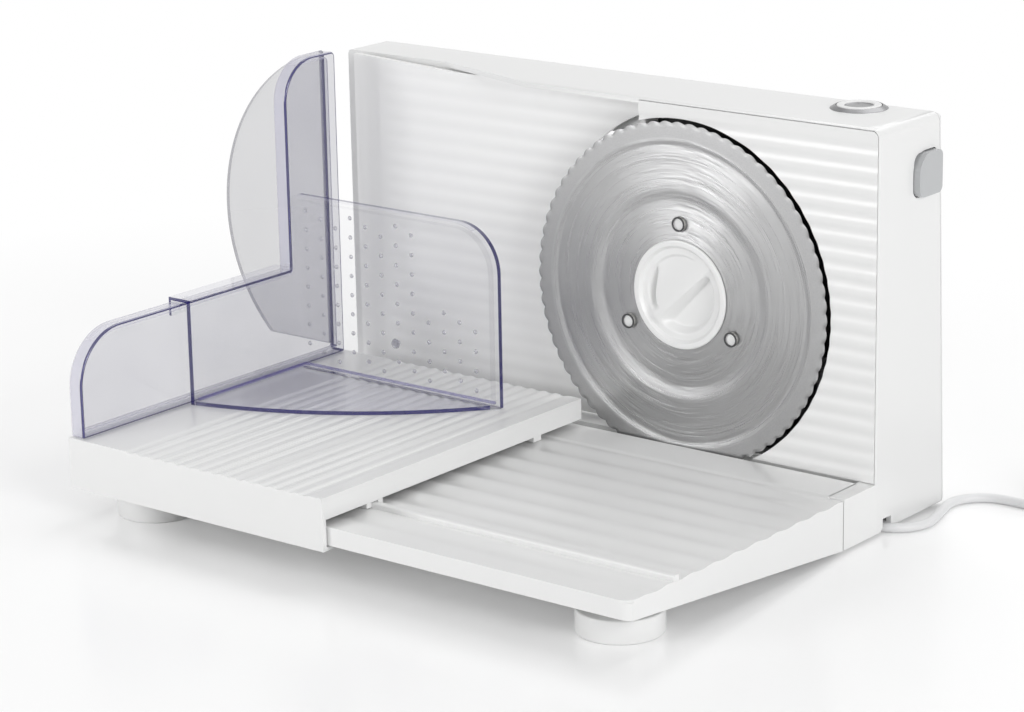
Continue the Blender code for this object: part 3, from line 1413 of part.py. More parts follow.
def build_food_holder():
    """Clear pusher: back plate with a rim, side wall, curved floor and the saddle on the backrest."""
    floor_top = HOLDER_BOTTOM + HOLDER_FLOOR
    plate = rounded([
        (HOLDER_SIDE, HOLDER_BOTTOM, 0),
        (HOLDER_RIGHT, HOLDER_BOTTOM, 0),
        (HOLDER_RIGHT, HOLDER_TOP, HOLDER_CORNER),
        (HOLDER_SIDE, HOLDER_TOP, 0),
    ])
    inner = rounded([
        (HOLDER_SIDE + CLEAR_WALL, floor_top, 0),
        (HOLDER_RIGHT - CLEAR_WALL, floor_top, 0),
        (HOLDER_RIGHT - CLEAR_WALL, HOLDER_TOP - CLEAR_WALL, HOLDER_CORNER - CLEAR_WALL),
        (HOLDER_SIDE + CLEAR_WALL, HOLDER_TOP - CLEAR_WALL, 0),
    ])
    holder = prism(plate, "Y", HOLDER_BACK - HOLDER_RIM, HOLDER_BACK)
    cut(holder, prism(inner, "Y", HOLDER_BACK - HOLDER_RIM - OVERRUN, HOLDER_BACK - CLEAR_WALL))
    saddle_left = BACKREST_LEFT - SADDLE_OVERHANG
    clip_right = BACKREST_LEFT - GAP
    join(
        holder,
        prism(holder_floor(), "Z", HOLDER_BOTTOM, floor_top),
        box(HOLDER_SIDE, HOLDER_SIDE + CLEAR_WALL, HOLDER_FRONT, HOLDER_BACK, HOLDER_BOTTOM, SADDLE_TOP),
        box(saddle_left, HOLDER_SIDE + CLEAR_WALL, HOLDER_FRONT, HOLDER_STOP, SADDLE_BOTTOM, SADDLE_TOP),
        box(saddle_left, clip_right, HOLDER_FRONT, HOLDER_FRONT + CLIP_LENGTH, SADDLE_BOTTOM - CLIP_DROP,
            SADDLE_TOP),
    )
    return piece("food_holder", holder, CLEAR)


# Switches


def build_switches():
    """Start button on the right end, lock button on the top, and their microswitches."""
    half_y = SWITCH_WIDTH / 2 - GAP
    half_z = SWITCH_HEIGHT / 2 - GAP
    corner = SWITCH_CORNER - GAP
    face = rectangle(SWITCH_Y - half_y, SWITCH_Y + half_y, SWITCH_Z - half_z, SWITCH_Z + half_z, corner)
    flange_right = INSIDE_RIGHT - GAP
    flange = rectangle(
        SWITCH_Y - half_y - SWITCH_FLANGE,
        SWITCH_Y + half_y + SWITCH_FLANGE,
        SWITCH_Z - half_z - SWITCH_FLANGE,
        SWITCH_Z + half_z + SWITCH_FLANGE,
    )
    start = prism(face, "X", flange_right - SWITCH_FLANGE / 2, HOUSING_RIGHT + SWITCH_PROUD)
    post = MICRO_WIDTH / 4
    plunger = box(
        SWITCH_BACK,
        flange_right - SWITCH_FLANGE / 2,
        SWITCH_Y - post,
        SWITCH_Y + post,
        SWITCH_Z - post,
        SWITCH_Z + post,
    )
    join(start, prism(flange, "X", flange_right - SWITCH_FLANGE, flange_right), plunger)
    piece("start_button", start, GREY)
    micro_right = SWITCH_BACK - SWITCH_TRAVEL - GAP
    micro = box(
        micro_right - MICRO_LENGTH,
        micro_right,
        SWITCH_Y - MICRO_WIDTH / 2,
        SWITCH_Y + MICRO_WIDTH / 2,
        SHELF_TOP + GAP,
        SWITCH_Z + post,
    )
    piece("start_microswitch", micro, DARK)
    rim = LOCK_RADIUS + GAP
    ring_low = HOUSING_TOP + GAP
    ring_high = ring_low + LOCK_RING_HEIGHT
    ring_profile = [
        (rim, ring_low),
        (rim + LOCK_RING, ring_low),
        (rim + LOCK_RING / 2, ring_high),
        (rim, ring_high),
    ]
    piece("lock_ring", turned(ring_profile, "Z", LOCK_X, LOCK_Y, FACETS // 2), STEEL)
    stem_low = MICRO_TOP + LOCK_TRAVEL + GAP
    button_profile = [
        (0, LOCK_TOP - LOCK_DISH),
        (0, stem_low),
        (LOCK_STEM, stem_low),
        (LOCK_STEM, LOCK_BOTTOM),
        (LOCK_RADIUS, LOCK_BOTTOM),
        (LOCK_RADIUS, LOCK_TOP),
        (LOCK_RADIUS - LOCK_DISH, LOCK_TOP),
    ]
    piece("lock_button", turned(button_profile, "Z", LOCK_X, LOCK_Y, FACETS // 2), WHITE)
    micro_low = box(
        LOCK_X - MICRO_WIDTH / 2,
        LOCK_X + MICRO_WIDTH / 2,
        LOCK_Y - MICRO_LENGTH / 2,
        LOCK_Y + MICRO_LENGTH / 2,
        SHELF_TOP + GAP,
        MICRO_TOP,
    )
    piece("lock_microswitch", micro_low, DARK)
    helix = []
    count = SPRING_TURNS * SPRING_POINTS
    rise = SPRING_LENGTH - 2 * SPRING_WIRE
    for index in range(count + 1):
        angle = 2 * math.pi * index / SPRING_POINTS
        x = LOCK_X + SPRING_RADIUS * math.cos(angle)
        y = LOCK_Y + SPRING_RADIUS * math.sin(angle)
        helix.append((x, y, SPRING_FOOT + SPRING_WIRE + rise * index / count))
    piece("lock_spring", wire(helix, SPRING_WIRE, 0), STEEL)


# Cord


def wire(points, radius, resolution):
    """Return a closed tube along points, made from a bevelled curve with filled caps."""
    curve = bpy.data.curves.new("route", "CURVE")
    curve.dimensions = "3D"
    curve.bevel_depth = radius
    curve.bevel_resolution = resolution
    curve.use_fill_caps = True
    spline = curve.splines.new("POLY")
    spline.points.add(len(points) - 1)
    for place, point in zip(spline.points, points):
        place.co = (*point, 1.0)
    item = bpy.data.objects.new("route", curve)
    bpy.context.collection.objects.link(item)
    graph = bpy.context.evaluated_depsgraph_get()
    bm = bmesh.new()
    bm.from_mesh(bpy.data.meshes.new_from_object(item.evaluated_get(graph)))
    bmesh.ops.remove_doubles(bm, verts=bm.verts, dist=MERGE)
    bpy.data.objects.remove(item)
    return solid(bm)


def smooth_route():
    """Return evenly spaced points of a smooth curve through the cord's route."""
    route = [Vector((x, y, CORD_Z)) for x, y in CORD_ROUTE]
    route = [route[0] * 2 - route[1]] + route + [route[-1] * 2 - route[-2]]
    dense = []
    for index in range(1, len(route) - 2):
        before, here, after, beyond = route[index - 1 : index + 3]
        for step in range(CURVE_STEPS):
            t = step / CURVE_STEPS
            dense.append((
                here * 2
                + (after - before) * t
                + (before * 2 - here * 5 + after * 4 - beyond) * t ** 2
                + (here * 3 - before - after * 3 + beyond) * t ** 3
            ) / 2)
    dense.append(route[-2])
    lengths = [0.0]
    for first, second in zip(dense, dense[1:]):
        lengths.append(lengths[-1] + (second - first).length)
    spaced = []
    place = 0
    count = round(lengths[-1] / CORD_SPACING)
    for step in range(count + 1):
        target = lengths[-1] * step / count
        while place < len(lengths) - 2 and lengths[place + 1] < target:
            place += 1
        span = lengths[place + 1] - lengths[place]
        spaced.append(dense[place].lerp(dense[place + 1], (target - lengths[place]) / span))
    return spaced


def coil_points():
    """Return the coil: in along the floor, up a layer where the spiral reverses, and out again."""
    inward = (COIL_TURNS - COIL_CLIMB_SHARE) / 2
    points = [Vector((COIL_X - CORD_RADIUS * 2, COIL_FRONT, CORD_Z))]
    for index in range(COIL_TURNS * COIL_POINTS + 1):
        turn = index / COIL_POINTS
        if turn <= inward:
            radius = COIL_OUTER - COIL_PITCH * turn
            height = CORD_Z
        elif turn < inward + COIL_CLIMB_SHARE:
            past = turn - inward
            radius = COIL_INNER - COIL_PITCH * past * (1 - past / COIL_CLIMB_SHARE)
            height = CORD_Z + COIL_PITCH * past / COIL_CLIMB_SHARE
        else:
            radius = COIL_INNER + COIL_PITCH * (turn - inward - COIL_CLIMB_SHARE)
            height = COIL_TOP_Z
        angle = 2 * math.pi * turn - math.pi / 2
        points.append(Vector((COIL_X + radius * math.cos(angle), COIL_Y + radius * math.sin(angle), height)))
    points.append(Vector((COIL_X + COIL_TAIL, COIL_FRONT, COIL_TOP_Z)))
    return points


def length_of(points):
    """Return the length of a chain of points."""
    return sum((second - first).length for first, second in zip(points, points[1:]))


def least_gap(points, radius):
    """Return the least gap between stretches of a tube that aren't neighbours."""
    nearest = math.inf
    reach = COIL_POINTS // 2
    for index, point in enumerate(points):
        for other in points[index + reach :]:
            nearest = min(nearest, (point - other).length)
    return nearest - 2 * radius


def build_cord():
    """Cord clamp, the cord's run on the floor, its coil and the plug."""
    clamp_right = HOUSING_RIGHT - CLAMP_INSET
    clamp_left = clamp_right - CLAMP_LENGTH
    clamp_low = FLOOR_GAP + WALL + 2 * GAP
    clamp_front = BASE_FRONT + WALL + GAP
    half_tongue = NOTCH_WIDTH / 2 - GAP
    clamp = box(
        clamp_left,
        clamp_right,
        clamp_front,
        clamp_front + CLAMP_WIDTH,
        clamp_low,
        clamp_low + CLAMP_HEIGHT,
    )
    tongue = box(
        clamp_left + WALL + GAP,
        clamp_right,
        NOTCH_Y - half_tongue,
        NOTCH_Y + half_tongue,
        FLOOR_GAP - GAP,
        clamp_low + CLAMP_HEIGHT / 2,
    )
    piece("cord_clamp", join(clamp, tongue), DARK)
    run = smooth_route()
    coil = coil_points()
    piece("cord_run", wire(run, CORD_RADIUS, 2), CORD_WHITE)
    piece("cord_coil", wire(coil, CORD_RADIUS, 1), CORD_WHITE)
    print("cord length", round(length_of(run) + length_of(coil), 4))
    print("coil least gap to itself", round(least_gap(coil, CORD_RADIUS), 5))
    left = COIL_X + COIL_TAIL + GAP
    body_left = left + SLEEVE_LENGTH
    half = PLUG_WIDTH / 2
    nose = PLUG_NOSE / 2
    thickness = COIL_TOP_Z - CORD_LIFT
    body = prism(rounded([
        (body_left, COIL_FRONT - nose, 0),
        (body_left + PLUG_LENGTH / 2, COIL_FRONT - half, PLUG_CORNER),
        (body_left + PLUG_LENGTH, COIL_FRONT - half, 0),
        (body_left + PLUG_LENGTH, COIL_FRONT + half, 0),
        (body_left + PLUG_LENGTH / 2, COIL_FRONT + half, PLUG_CORNER),
        (body_left, COIL_FRONT + nose, 0),
    ]), "Z", COIL_TOP_Z - thickness, COIL_TOP_Z + thickness)
    sleeve = tube("X", COIL_FRONT, COIL_TOP_Z, 0, SLEEVE_RADIUS, left, body_left + WALL, SMALL_FACETS)
    pins = []
    for side in (-1, 1):
        y = COIL_FRONT + side * PIN_SPREAD / 2
        start = body_left + PLUG_LENGTH - WALL
        end = start + WALL + PIN_LENGTH
        pins.append(tube("X", y, COIL_TOP_Z, 0, PIN_RADIUS, start, end, SMALL_FACETS // 2))
    piece("plug", join(body, sleeve, *pins), CORD_WHITE)


def main():
    """Clear the scene, build every piece and hang them all on the root."""
    for item in list(bpy.data.objects):
        bpy.data.objects.remove(item)
    build_housing_shell()
    build_rear_cover()
    build_front_panel()
    build_screws()
    build_gearbox_plate()
    build_blade_axle()
    build_blade()
    build_blade_gear()
    build_blade_knob()
    build_idler()
    build_motor()
    build_fence()
    build_dial()
    build_table()
    build_feet()
    build_carriage()
    build_backrest()
    build_thumb_guard()
    build_food_holder()
    build_switches()
    build_cord()
    root = bpy.data.objects.new("slicer", None)
    bpy.context.collection.objects.link(root)
    root.location = (-MIDDLE_X, -MIDDLE_Y, 0)
    for item in bpy.data.objects:
        if item.type == "MESH":
            item.parent = root


main()
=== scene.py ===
"""Looks of an electric food slicer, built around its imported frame.

Lengths are in metres. The pieces are drawn in the slicer's own coordinates: X is measured from the
blade's axis, Y from the front panel's face and Z from the floor. ORIGIN moves them into the frame.
"""

import json
import logging
import math
from dataclasses import dataclass
from enum import Enum
from typing import Callable, Optional, Sequence, Union

import bmesh
import bpy
from mathutils import Matrix, Vector


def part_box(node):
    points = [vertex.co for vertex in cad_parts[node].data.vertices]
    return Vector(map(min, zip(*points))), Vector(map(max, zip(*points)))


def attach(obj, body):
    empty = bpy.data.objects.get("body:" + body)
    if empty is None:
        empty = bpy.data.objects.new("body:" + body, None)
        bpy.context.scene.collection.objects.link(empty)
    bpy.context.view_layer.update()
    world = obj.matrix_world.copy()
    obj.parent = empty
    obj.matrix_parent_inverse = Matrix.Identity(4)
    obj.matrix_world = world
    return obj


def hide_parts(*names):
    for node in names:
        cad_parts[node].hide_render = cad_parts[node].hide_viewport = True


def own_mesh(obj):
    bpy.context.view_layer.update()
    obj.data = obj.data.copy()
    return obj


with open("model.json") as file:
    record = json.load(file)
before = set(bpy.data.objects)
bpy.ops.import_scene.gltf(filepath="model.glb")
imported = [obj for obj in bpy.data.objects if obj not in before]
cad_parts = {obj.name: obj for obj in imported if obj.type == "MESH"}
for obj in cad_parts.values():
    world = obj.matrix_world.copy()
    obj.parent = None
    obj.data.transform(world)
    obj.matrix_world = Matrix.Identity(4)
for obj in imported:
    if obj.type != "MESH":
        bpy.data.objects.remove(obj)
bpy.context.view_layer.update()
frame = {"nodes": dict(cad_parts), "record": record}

END = 0.112  # The housing's right end.
LIP = -0.1968  # The carriage's front.
ORIGIN = Vector((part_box("housing_shell")[1].x - END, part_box("carriage")[0].y - LIP, 0.0))
AXIS = 0.1015  # The blade's height.
TO_AXIS = Matrix.Translation((0, 0, AXIS))
HAIR = 0.00001  # A length too small to see.
CUT = 0.004  # How far a cutter reaches past what it cuts.
GAP = 0.0003  # The clearance between neighbours.
SHARP = math.radians(35)  # The angle from which an edge is shaded sharp.
ROUNDED = math.radians(38)  # The angle from which an edge is rounded.
WHITE_LIGHT = (1.0, 1.0, 1.0, 1.0)

Item = bpy.types.Object
Material = bpy.types.Material
Face = bpy.types.MeshPolygon
Point = tuple[float, float]
Value = Union[float, Sequence[float], "Signal", bpy.types.NodeSocket]
LOG = logging.getLogger("slicer")


class Slot(Enum):
    """The record's material slots."""

    WHITE = "housing_white"
    CLEAR = "clear_plastic"
    BLADE = "blade_steel"
    STEEL = "plain_steel"
    CHROME = "ring_chrome"
    GREY = "switch_grey"
    DARK = "dark_plastic"
    NYLON = "nylon"
    BRASS = "brass"
    COPPER = "copper_winding"
    RUBBER = "foot_rubber"
    CORD = "cord_white"


class Body(Enum):
    """The frame's bodies that new pieces ride on."""

    HOUSING = "housing"
    BLADE = "blade"
    KNOB = "knob"
    DIAL = "dial"
    FENCE = "fence"
    CARRIAGE = "carriage"
    HOLDER = "holder"
    START = "start_button"
    LOCK = "lock_button"


# Node trees


def arithmetic(operation: str) -> Callable[["Signal", Value], "Signal"]:
    """Return the method of a signal that does one sum with another value."""

    def method(signal: "Signal", other: Value) -> "Signal":
        """Return the sum's result."""
        return signal.math(operation, other)

    return method


class Signal:
    """A socket in a node tree, with the sums that Math nodes do."""

    def __init__(self, graph: "Graph", socket: bpy.types.NodeSocket) -> None:
        """Keep the tree's graph and the socket."""
        self.graph = graph
        self.socket = socket

    def math(self, operation: str, *others: Value) -> "Signal":
        """Add a Math node that starts from this socket.

        Args:
            operation: The Math node's operation.
            others: The node's other values.

        Returns:
            The node's result.
        """
        return self.graph.out("ShaderNodeMath", {"operation": operation}, dict(enumerate((self, *others))))

    def __rsub__(self, other: float) -> "Signal":
        """Return a number less this value."""
        return self.graph.out("ShaderNodeMath", {"operation": "SUBTRACT"}, {0: other, 1: self})

    __add__ = __radd__ = arithmetic("ADD")
    __mul__ = __rmul__ = arithmetic("MULTIPLY")
    __sub__ = arithmetic("SUBTRACT")
    __truediv__ = arithmetic("DIVIDE")
    __pow__ = arithmetic("POWER")
    __gt__ = arithmetic("GREATER_THAN")
    __lt__ = arithmetic("LESS_THAN")


class Graph:
    """A node tree and the methods that add nodes to it."""

    def __init__(self, tree: bpy.types.NodeTree) -> None:
        """Keep the tree."""
        self.tree = tree

    def node(
        self, kind: str, settings: Optional[dict] = None, values: Optional[dict] = None
    ) -> bpy.types.Node:
        """Add a node.

        Args:
            kind: The node's type.
            settings: Its properties, and a ramp's stops under "stops".
            values: Its sockets' values or links, by name or number.

        Returns:
            The node.
        """
        made = self.tree.nodes.new(kind)
        for key, value in (settings or {}).items():
            if key == "stops":
                elements = made.color_ramp.elements
                while len(elements) < len(value):
                    elements.new(0.5)
                for element, (place, colour) in zip(elements, value):
                    element.position = place
                    element.color = (*colour, 1.0)
            else:
                setattr(made, key, value)
        for key, value in (values or {}).items():
            socket = made.inputs[key]
            if isinstance(value, Signal):
                self.tree.links.new(value.socket, socket)
            elif isinstance(value, bpy.types.NodeSocket):
                self.tree.links.new(value, socket)
            else:
                socket.default_value = value
        return made

    def out(
        self,
        kind: str,
        settings: Optional[dict] = None,
        values: Optional[dict] = None,
        output: Union[int, str] = 0,
    ) -> Signal:
        """Add a node and return one of its outputs."""
        return Signal(self, self.node(kind, settings, values).outputs[output])

    def split(self, vector: Value) -> tuple[Signal, Signal, Signal]:
        """Return a vector's three parts."""
        made = self.node("ShaderNodeSeparateXYZ", None, {0: vector})
        return tuple(Signal(self, socket) for socket in made.outputs)

    def merge(self, x: Value, y: Value, z: Value) -> Signal:
        """Return a vector made of three parts."""
        return self.out("ShaderNodeCombineXYZ", None, {0: x, 1: y, 2: z})

    def ramp(self, value: Value, low: float, high: float) -> Signal:
        """Return 0 to 1 as a value goes from low to high."""
        return self.out("ShaderNodeMapRange", {"clamp": True}, {0: value, 1: low, 2: high, 3: 0.0, 4: 1.0})

    def seen(self) -> Signal:
        """Return 1 for the rays that see the background, straight, mirrored or through clear plastic."""
        path = self.node("ShaderNodeLightPath")
        camera, glossy, through = (
            Signal(self, path.outputs[f"Is {kind} Ray"]) for kind in ("Camera", "Glossy", "Transmission")
        )
        return (camera + glossy + through).math("MINIMUM", 1.0)

    def mixed(self, share: Value, first: bpy.types.Node, second: bpy.types.Node) -> bpy.types.Node:
        """Return a mix of two shaders."""
        return self.node("ShaderNodeMixShader", None, {0: share, 1: first.outputs[0], 2: second.outputs[0]})


# Finishes


class Look(Graph):
    """A material under construction."""

    def __init__(self, name: str) -> None:
        """Start a material that has only its output."""
        self.material = bpy.data.materials.new(name)
        self.material.use_nodes = True
        super().__init__(self.material.node_tree)
        self.tree.nodes.clear()
        self.end = self.node("ShaderNodeOutputMaterial")

    def coordinates(self) -> Signal:
        """Return the object coordinates."""
        return self.out("ShaderNodeTexCoord", None, None, "Object")

    def noise(self, vector: Value, scale: float, detail: float = 3.0) -> Signal:
        """Return a noise pattern from 0 to 1."""
        return self.out("ShaderNodeTexNoise", None, {"Vector": vector, "Scale": scale, "Detail": detail})

    def blend(self, mask: Value, first: Value, second: Value) -> Signal:
        """Return a colour between two, which are signals or have three parts."""
        ends = [end if isinstance(end, Signal) else (*end, 1.0) for end in (first, second)]
        return self.out("ShaderNodeMix", {"data_type": "RGBA"}, {0: mask, 6: ends[0], 7: ends[1]}, 2)

    def shades(self, mask: Value, colour: Sequence[float], low: float, high: float) -> Signal:
        """Return a colour that runs from one share of itself to another."""
        return self.blend(mask, scaled(colour, low), scaled(colour, high))

    def bump(self, height: Value, depth: float, strength: float = 1.0) -> Signal:
        """Return a normal from a height pattern of a given depth in metres."""
        return self.out("ShaderNodeBump", None, {"Strength": strength, "Distance": depth, "Height": height})

    def surface(self, values: dict) -> Material:
        """Close the material with a Principled shader.

        Args:
            values: The shader's sockets, by name.

        Returns:
            The finished material.
        """
        shader = self.node("ShaderNodeBsdfPrincipled", None, values)
        self.tree.links.new(shader.outputs[0], self.end.inputs[0])
        return self.material


def scaled(colour: Sequence[float], share: float) -> tuple[float, ...]:
    """Return a colour made darker or lighter by a share."""
    return tuple(min(1.0, part * share) for part in colour)


@dataclass(frozen=True)
class Moulded:
    """Injection-moulded plastic or rubber with a fine grain and faint flow marks."""

    name: str
    colour: tuple[float, float, float]
    roughness: float
    grain: float = 900.0
    depth: float = 0.00001
    coat: float = 0.0

    def build(self) -> Material:
        """Return the material."""
        look = Look(self.name)
        place = look.coordinates()
        flow = look.noise(place, 16.0, 2.0)
        grain = look.noise(place, self.grain, 2.0)
        return look.surface({
            "Base Color": look.shades(flow, self.colour, 0.985, 1.01),
            "Roughness": flow * 0.08 + (self.roughness - 0.04),
            "Coat Weight": self.coat,
            "Normal": look.bump(grain, self.depth),
        })


@dataclass(frozen=True)
class Clear:
    """Tinted clear plastic, thin enough that what stands behind it isn't shifted."""

    name: str
    colour: tuple[float, float, float]
    alpha: float
    roughness: float = 0.08

    def build(self) -> Material:
        """Return the material."""
        look = Look(self.name)
        place = look.coordinates()
        flow = look.noise(place, 22.0, 2.0)
        return look.surface({
            "Base Color": look.shades(flow, self.colour, 0.94, 1.06),
            "Roughness": flow * 0.05 + self.roughness,
            "Alpha": flow * 0.06 + (self.alpha - 0.03),
            "IOR": 1.58,
            "Coat Weight": 1.0,
            "Normal": look.bump(look.noise(place, 60.0, 1.0), 0.00002),
        })


@dataclass(frozen=True)
class Turned:
    """Steel disc turned in fine rings, with a paler ground band at its rim."""

    name: str
    colour: tuple[float, float, float]
    centre: tuple[float, float, float]
    band: float
    dishing: float = 850.0

    def build(self) -> Material:
        """Return the material."""
        look = Look(self.name)
        values = {0: look.coordinates(), 1: self.centre}
        x, _, z = look.split(look.out("ShaderNodeVectorMath", {"operation": "SUBTRACT"}, values))
        radius = (x * x + z * z).math("SQRT")
        turn = z.math("ARCTAN2", x)
        around = (turn.math("COSINE"), turn.math("SINE"))
        rings = look.noise(look.merge(radius * 5200.0, around[0] * 1.0, around[1] * 1.0), 1.0, 2.0)
        soft = look.noise(look.merge(radius * 260.0, around[0] * 1.1, around[1] * 1.1), 1.0, 2.0)
        grit = look.noise(look.merge(x, z, radius), 1500.0, 2.0)
        rim = look.ramp(radius, self.band, self.band + 0.0008)
        dish = radius.math("MINIMUM", self.band) * self.dishing
        tone = look.shades(rings * 0.6 + soft * 0.4, self.colour, 0.93, 1.07)
        ground = look.shades(grit, self.colour, 0.82, 1.04)
        return look.surface({
            "Base Color": look.blend(rim, tone, ground),
            "Roughness": rings * 0.12 + soft * 0.06 + rim * 0.16 + 0.2,
            "Metallic": 1.0,
            "Normal": look.bump(rings * (1.0 - rim * 0.7) + grit * rim * 0.3 - dish, 0.00013),
        })


@dataclass(frozen=True)
class Metal:
    """Plain drawn or plated metal with fine marks along X."""

    name: str
    colour: tuple[float, float, float]
    roughness: float
    marks: float = 0.00001

    def build(self) -> Material:
        """Return the material."""
        look = Look(self.name)
        x, y, z = look.split(look.coordinates())
        drawn = look.noise(look.merge(x * 80.0, y * 1400.0, z * 1400.0), 1.0, 2.0)
        return look.surface({
            "Base Color": look.shades(drawn, self.colour, 0.9, 1.08),
            "Roughness": drawn * 0.14 + (self.roughness - 0.07),
            "Metallic": 1.0,
            "Normal": look.bump(drawn, self.marks),
        })


class Finishes:
    """Every finish of the slicer, made once."""

    def __init__(self) -> None:
        """Build the materials."""
        axis = (ORIGIN.x, ORIGIN.y, AXIS)
        made = {
            Slot.WHITE: Moulded("white_shell", (0.87, 0.872, 0.868), 0.3, coat=0.15),
            Slot.CLEAR: Clear("clear_wall", (0.17, 0.165, 0.3), 0.045),
            Slot.BLADE: Turned("turned_blade", (0.36, 0.36, 0.362), axis, 0.0765),
            Slot.STEEL: Metal("drawn_steel", (0.56, 0.56, 0.57), 0.3),
            Slot.CHROME: Metal("plated_ring", (0.22, 0.22, 0.225), 0.3, 0.000002),
            Slot.GREY: Moulded("grey_switch", (0.5, 0.51, 0.52), 0.28, coat=0.3),
            Slot.DARK: Moulded("dark_moulding", (0.035, 0.035, 0.038), 0.45),
            Slot.NYLON: Moulded("nylon_moulding", (0.86, 0.855, 0.83), 0.4),
            Slot.BRASS: Metal("brass_sheet", (0.75, 0.58, 0.28), 0.3),
            Slot.COPPER: Metal("copper_wire", (0.72, 0.35, 0.18), 0.35, 0.00006),
            Slot.RUBBER: Moulded("foot_rubber", (0.1, 0.1, 0.1), 0.75, 500.0, 0.00003),
            Slot.CORD: Moulded("cord_jacket", (0.8, 0.803, 0.81), 0.38, 1400.0),
        }
        self.by_slot = {slot: finish.build() for slot, finish in made.items()}
        self.smoky = Clear("smoky_wall", (0.14, 0.135, 0.25), 0.18).build()
        self.edge = Clear("violet_edge", (0.01, 0.006, 0.13), 0.96).build()
        self.tinted = Clear("tinted_floor", (0.28, 0.26, 0.55), 0.1).build()
        self.seam = Clear("violet_seam", (0.1, 0.08, 0.4), 0.42).build()
        self.nub = Clear("moulded_nub", (0.5, 0.5, 0.55), 0.5).build()
        # The fence's white is paler than the housing's: painted light that makes up for the shade in its
        # recess under the bridge.
        self.fence = Moulded("fence_lightened_white", (0.95, 0.951, 0.947), 0.3, coat=0.15).build()
        self.band = Clear("pale_band", (0.6, 0.59, 0.72), 0.4).build()
        self.milky = Clear("milky_wall", (0.2, 0.2, 0.24), 0.22, 0.2).build()
        self.milky_edge = Clear("milky_edge", (0.3, 0.3, 0.36), 0.6, 0.2).build()

    def dress_frame(self) -> None:
        """Give each CAD node that still shows the finish of its slot."""
        slots = {part["node"]: Slot(part["material_slot"]) for part in frame["record"]["subparts"]}
        for name, item in frame["nodes"].items():
            item.data.materials.clear()
            item.data.materials.append(self.by_slot[slots[name]])


# Mesh work


def linked(name: str, data: bpy.types.ID) -> Item:
    """Return a new object in the scene that holds some data."""
    item = bpy.data.objects.new(name, data)
    bpy.context.scene.collection.objects.link(item)
    return item


def eased(value: float, low: float = 0.0, high: float = 1.0) -> float:
    """Return a soft step from 0 to 1 as a value goes from low to high."""
    share = min(1.0, max(0.0, (value - low) / (high - low)))
    return share * share * (3 - 2 * share)


def rounded(corners: Sequence[tuple[float, float, float]], steps: int = 12) -> list[Point]:
    """Turn the corners of an outline into arcs.

    Args:
        corners: The (a, b, radius) of each corner.
        steps: The pieces of each arc.

    Returns:
        The outline's points.
    """
    points = []
    for index, (a, b, radius) in enumerate(corners):
        here = Vector((a, b))
        if radius == 0:
            points.append((a, b))
            continue
        before = (Vector(corners[index - 1][:2]) - here).normalized()
        after = (Vector(corners[(index + 1) % len(corners)][:2]) - here).normalized()
        half = before.angle(after) / 2
        centre = here + (before + after).normalized() * radius / math.sin(half)
        start = here + before * radius / math.tan(half) - centre
        end = here + after * radius / math.tan(half) - centre
        sweep = -start.angle_signed(end)
        for step in range(steps + 1):
            points.append(tuple(centre + Matrix.Rotation(sweep * step / steps, 2) @ start))
    return points


def filleted(profile: Sequence[tuple[float, float, float]], steps: int = 5) -> list[Point]:
    """Return a lathe profile from (radius, along, fillet) corners."""
    return rounded(profile, steps)


def solid(bm: bmesh.types.BMesh, name: str) -> Item:
    """Turn a bmesh into a linked object, welded and facing out."""
    bmesh.ops.remove_doubles(bm, verts=bm.verts, dist=HAIR / 10)
    bmesh.ops.recalc_face_normals(bm, faces=bm.faces)
    mesh = bpy.data.meshes.new(name)
    bm.to_mesh(mesh)
    bm.free()
    return linked(name, mesh)


def prism(name: str, outline: Sequence[Point], axis: str, start: float, end: float) -> Item:
    """Extrude an outline along X, Y or Z."""
    order = {"X": (2, 0, 1), "Y": (0, 2, 1), "Z": (0, 1, 2)}[axis]
    bm = bmesh.new()
    rings = []
    for along in (start, end):
        rings.append([bm.verts.new([(a, b, along)[part] for part in order]) for a, b in outline])
    bm.faces.new(rings[0])
    bm.faces.new(rings[1])
    for index in range(len(outline)):
        after = (index + 1) % len(outline)
        bm.faces.new((rings[0][index], rings[0][after], rings[1][after], rings[1][index]))
    return solid(bm, name)


def block(name: str, low: Sequence[float], high: Sequence[float]) -> Item:
    """Return a box between two corners."""
    outline = [(low[0], low[1]), (high[0], low[1]), (high[0], high[1]), (low[0], high[1])]
    return prism(name, outline, "Z", low[2], high[2])


def lathe(name: str, profile: Sequence[Point], segments: int, axis: str = "Y") -> Item:
    """Spin a closed profile of (radius, along) points about an axis through the origin."""
    bm = bmesh.new()
    rows = []
    for radius, along in profile:
        row = []
        for index in range(segments if radius > 0 else 1):
            angle = 2 * math.pi * index / segments
            a, b = radius * math.cos(angle), radius * math.sin(angle)
            row.append(bm.verts.new((a, along, b) if axis == "Y" else (a, b, along)))
        rows.append(row)
    for first, second in zip(rows, rows[1:] + rows[:1]):
        for index in range(segments):
            after = (index + 1) % segments
            if len(first) == 1 and len(second) == 1:
                break
            if len(first) == 1:
                bm.faces.new((first[0], second[after], second[index]))
            elif len(second) == 1:
                bm.faces.new((first[index], first[after], second[0]))
            else:
                bm.faces.new((first[index], first[after], second[after], second[index]))
    return solid(bm, name)


def cylinder(name: str, radius: float, start: float, end: float, segments: int) -> Item:
    """Return a round disc about the Y axis, from one depth to another."""
    return lathe(name, [(0, start), (radius, start), (radius, end), (0, end)], segments)


def place(item: Item, matrix: Matrix) -> Item:
    """Move a piece's mesh."""
    item.data.transform(matrix)
    return item


def settled(item: Item) -> Item:
    """Apply a piece's modifiers to its mesh."""
    graph = bpy.context.evaluated_depsgraph_get()
    mesh = bpy.data.meshes.new_from_object(item.evaluated_get(graph), depsgraph=graph)
    item.modifiers.clear()
    item.data = mesh
    return item


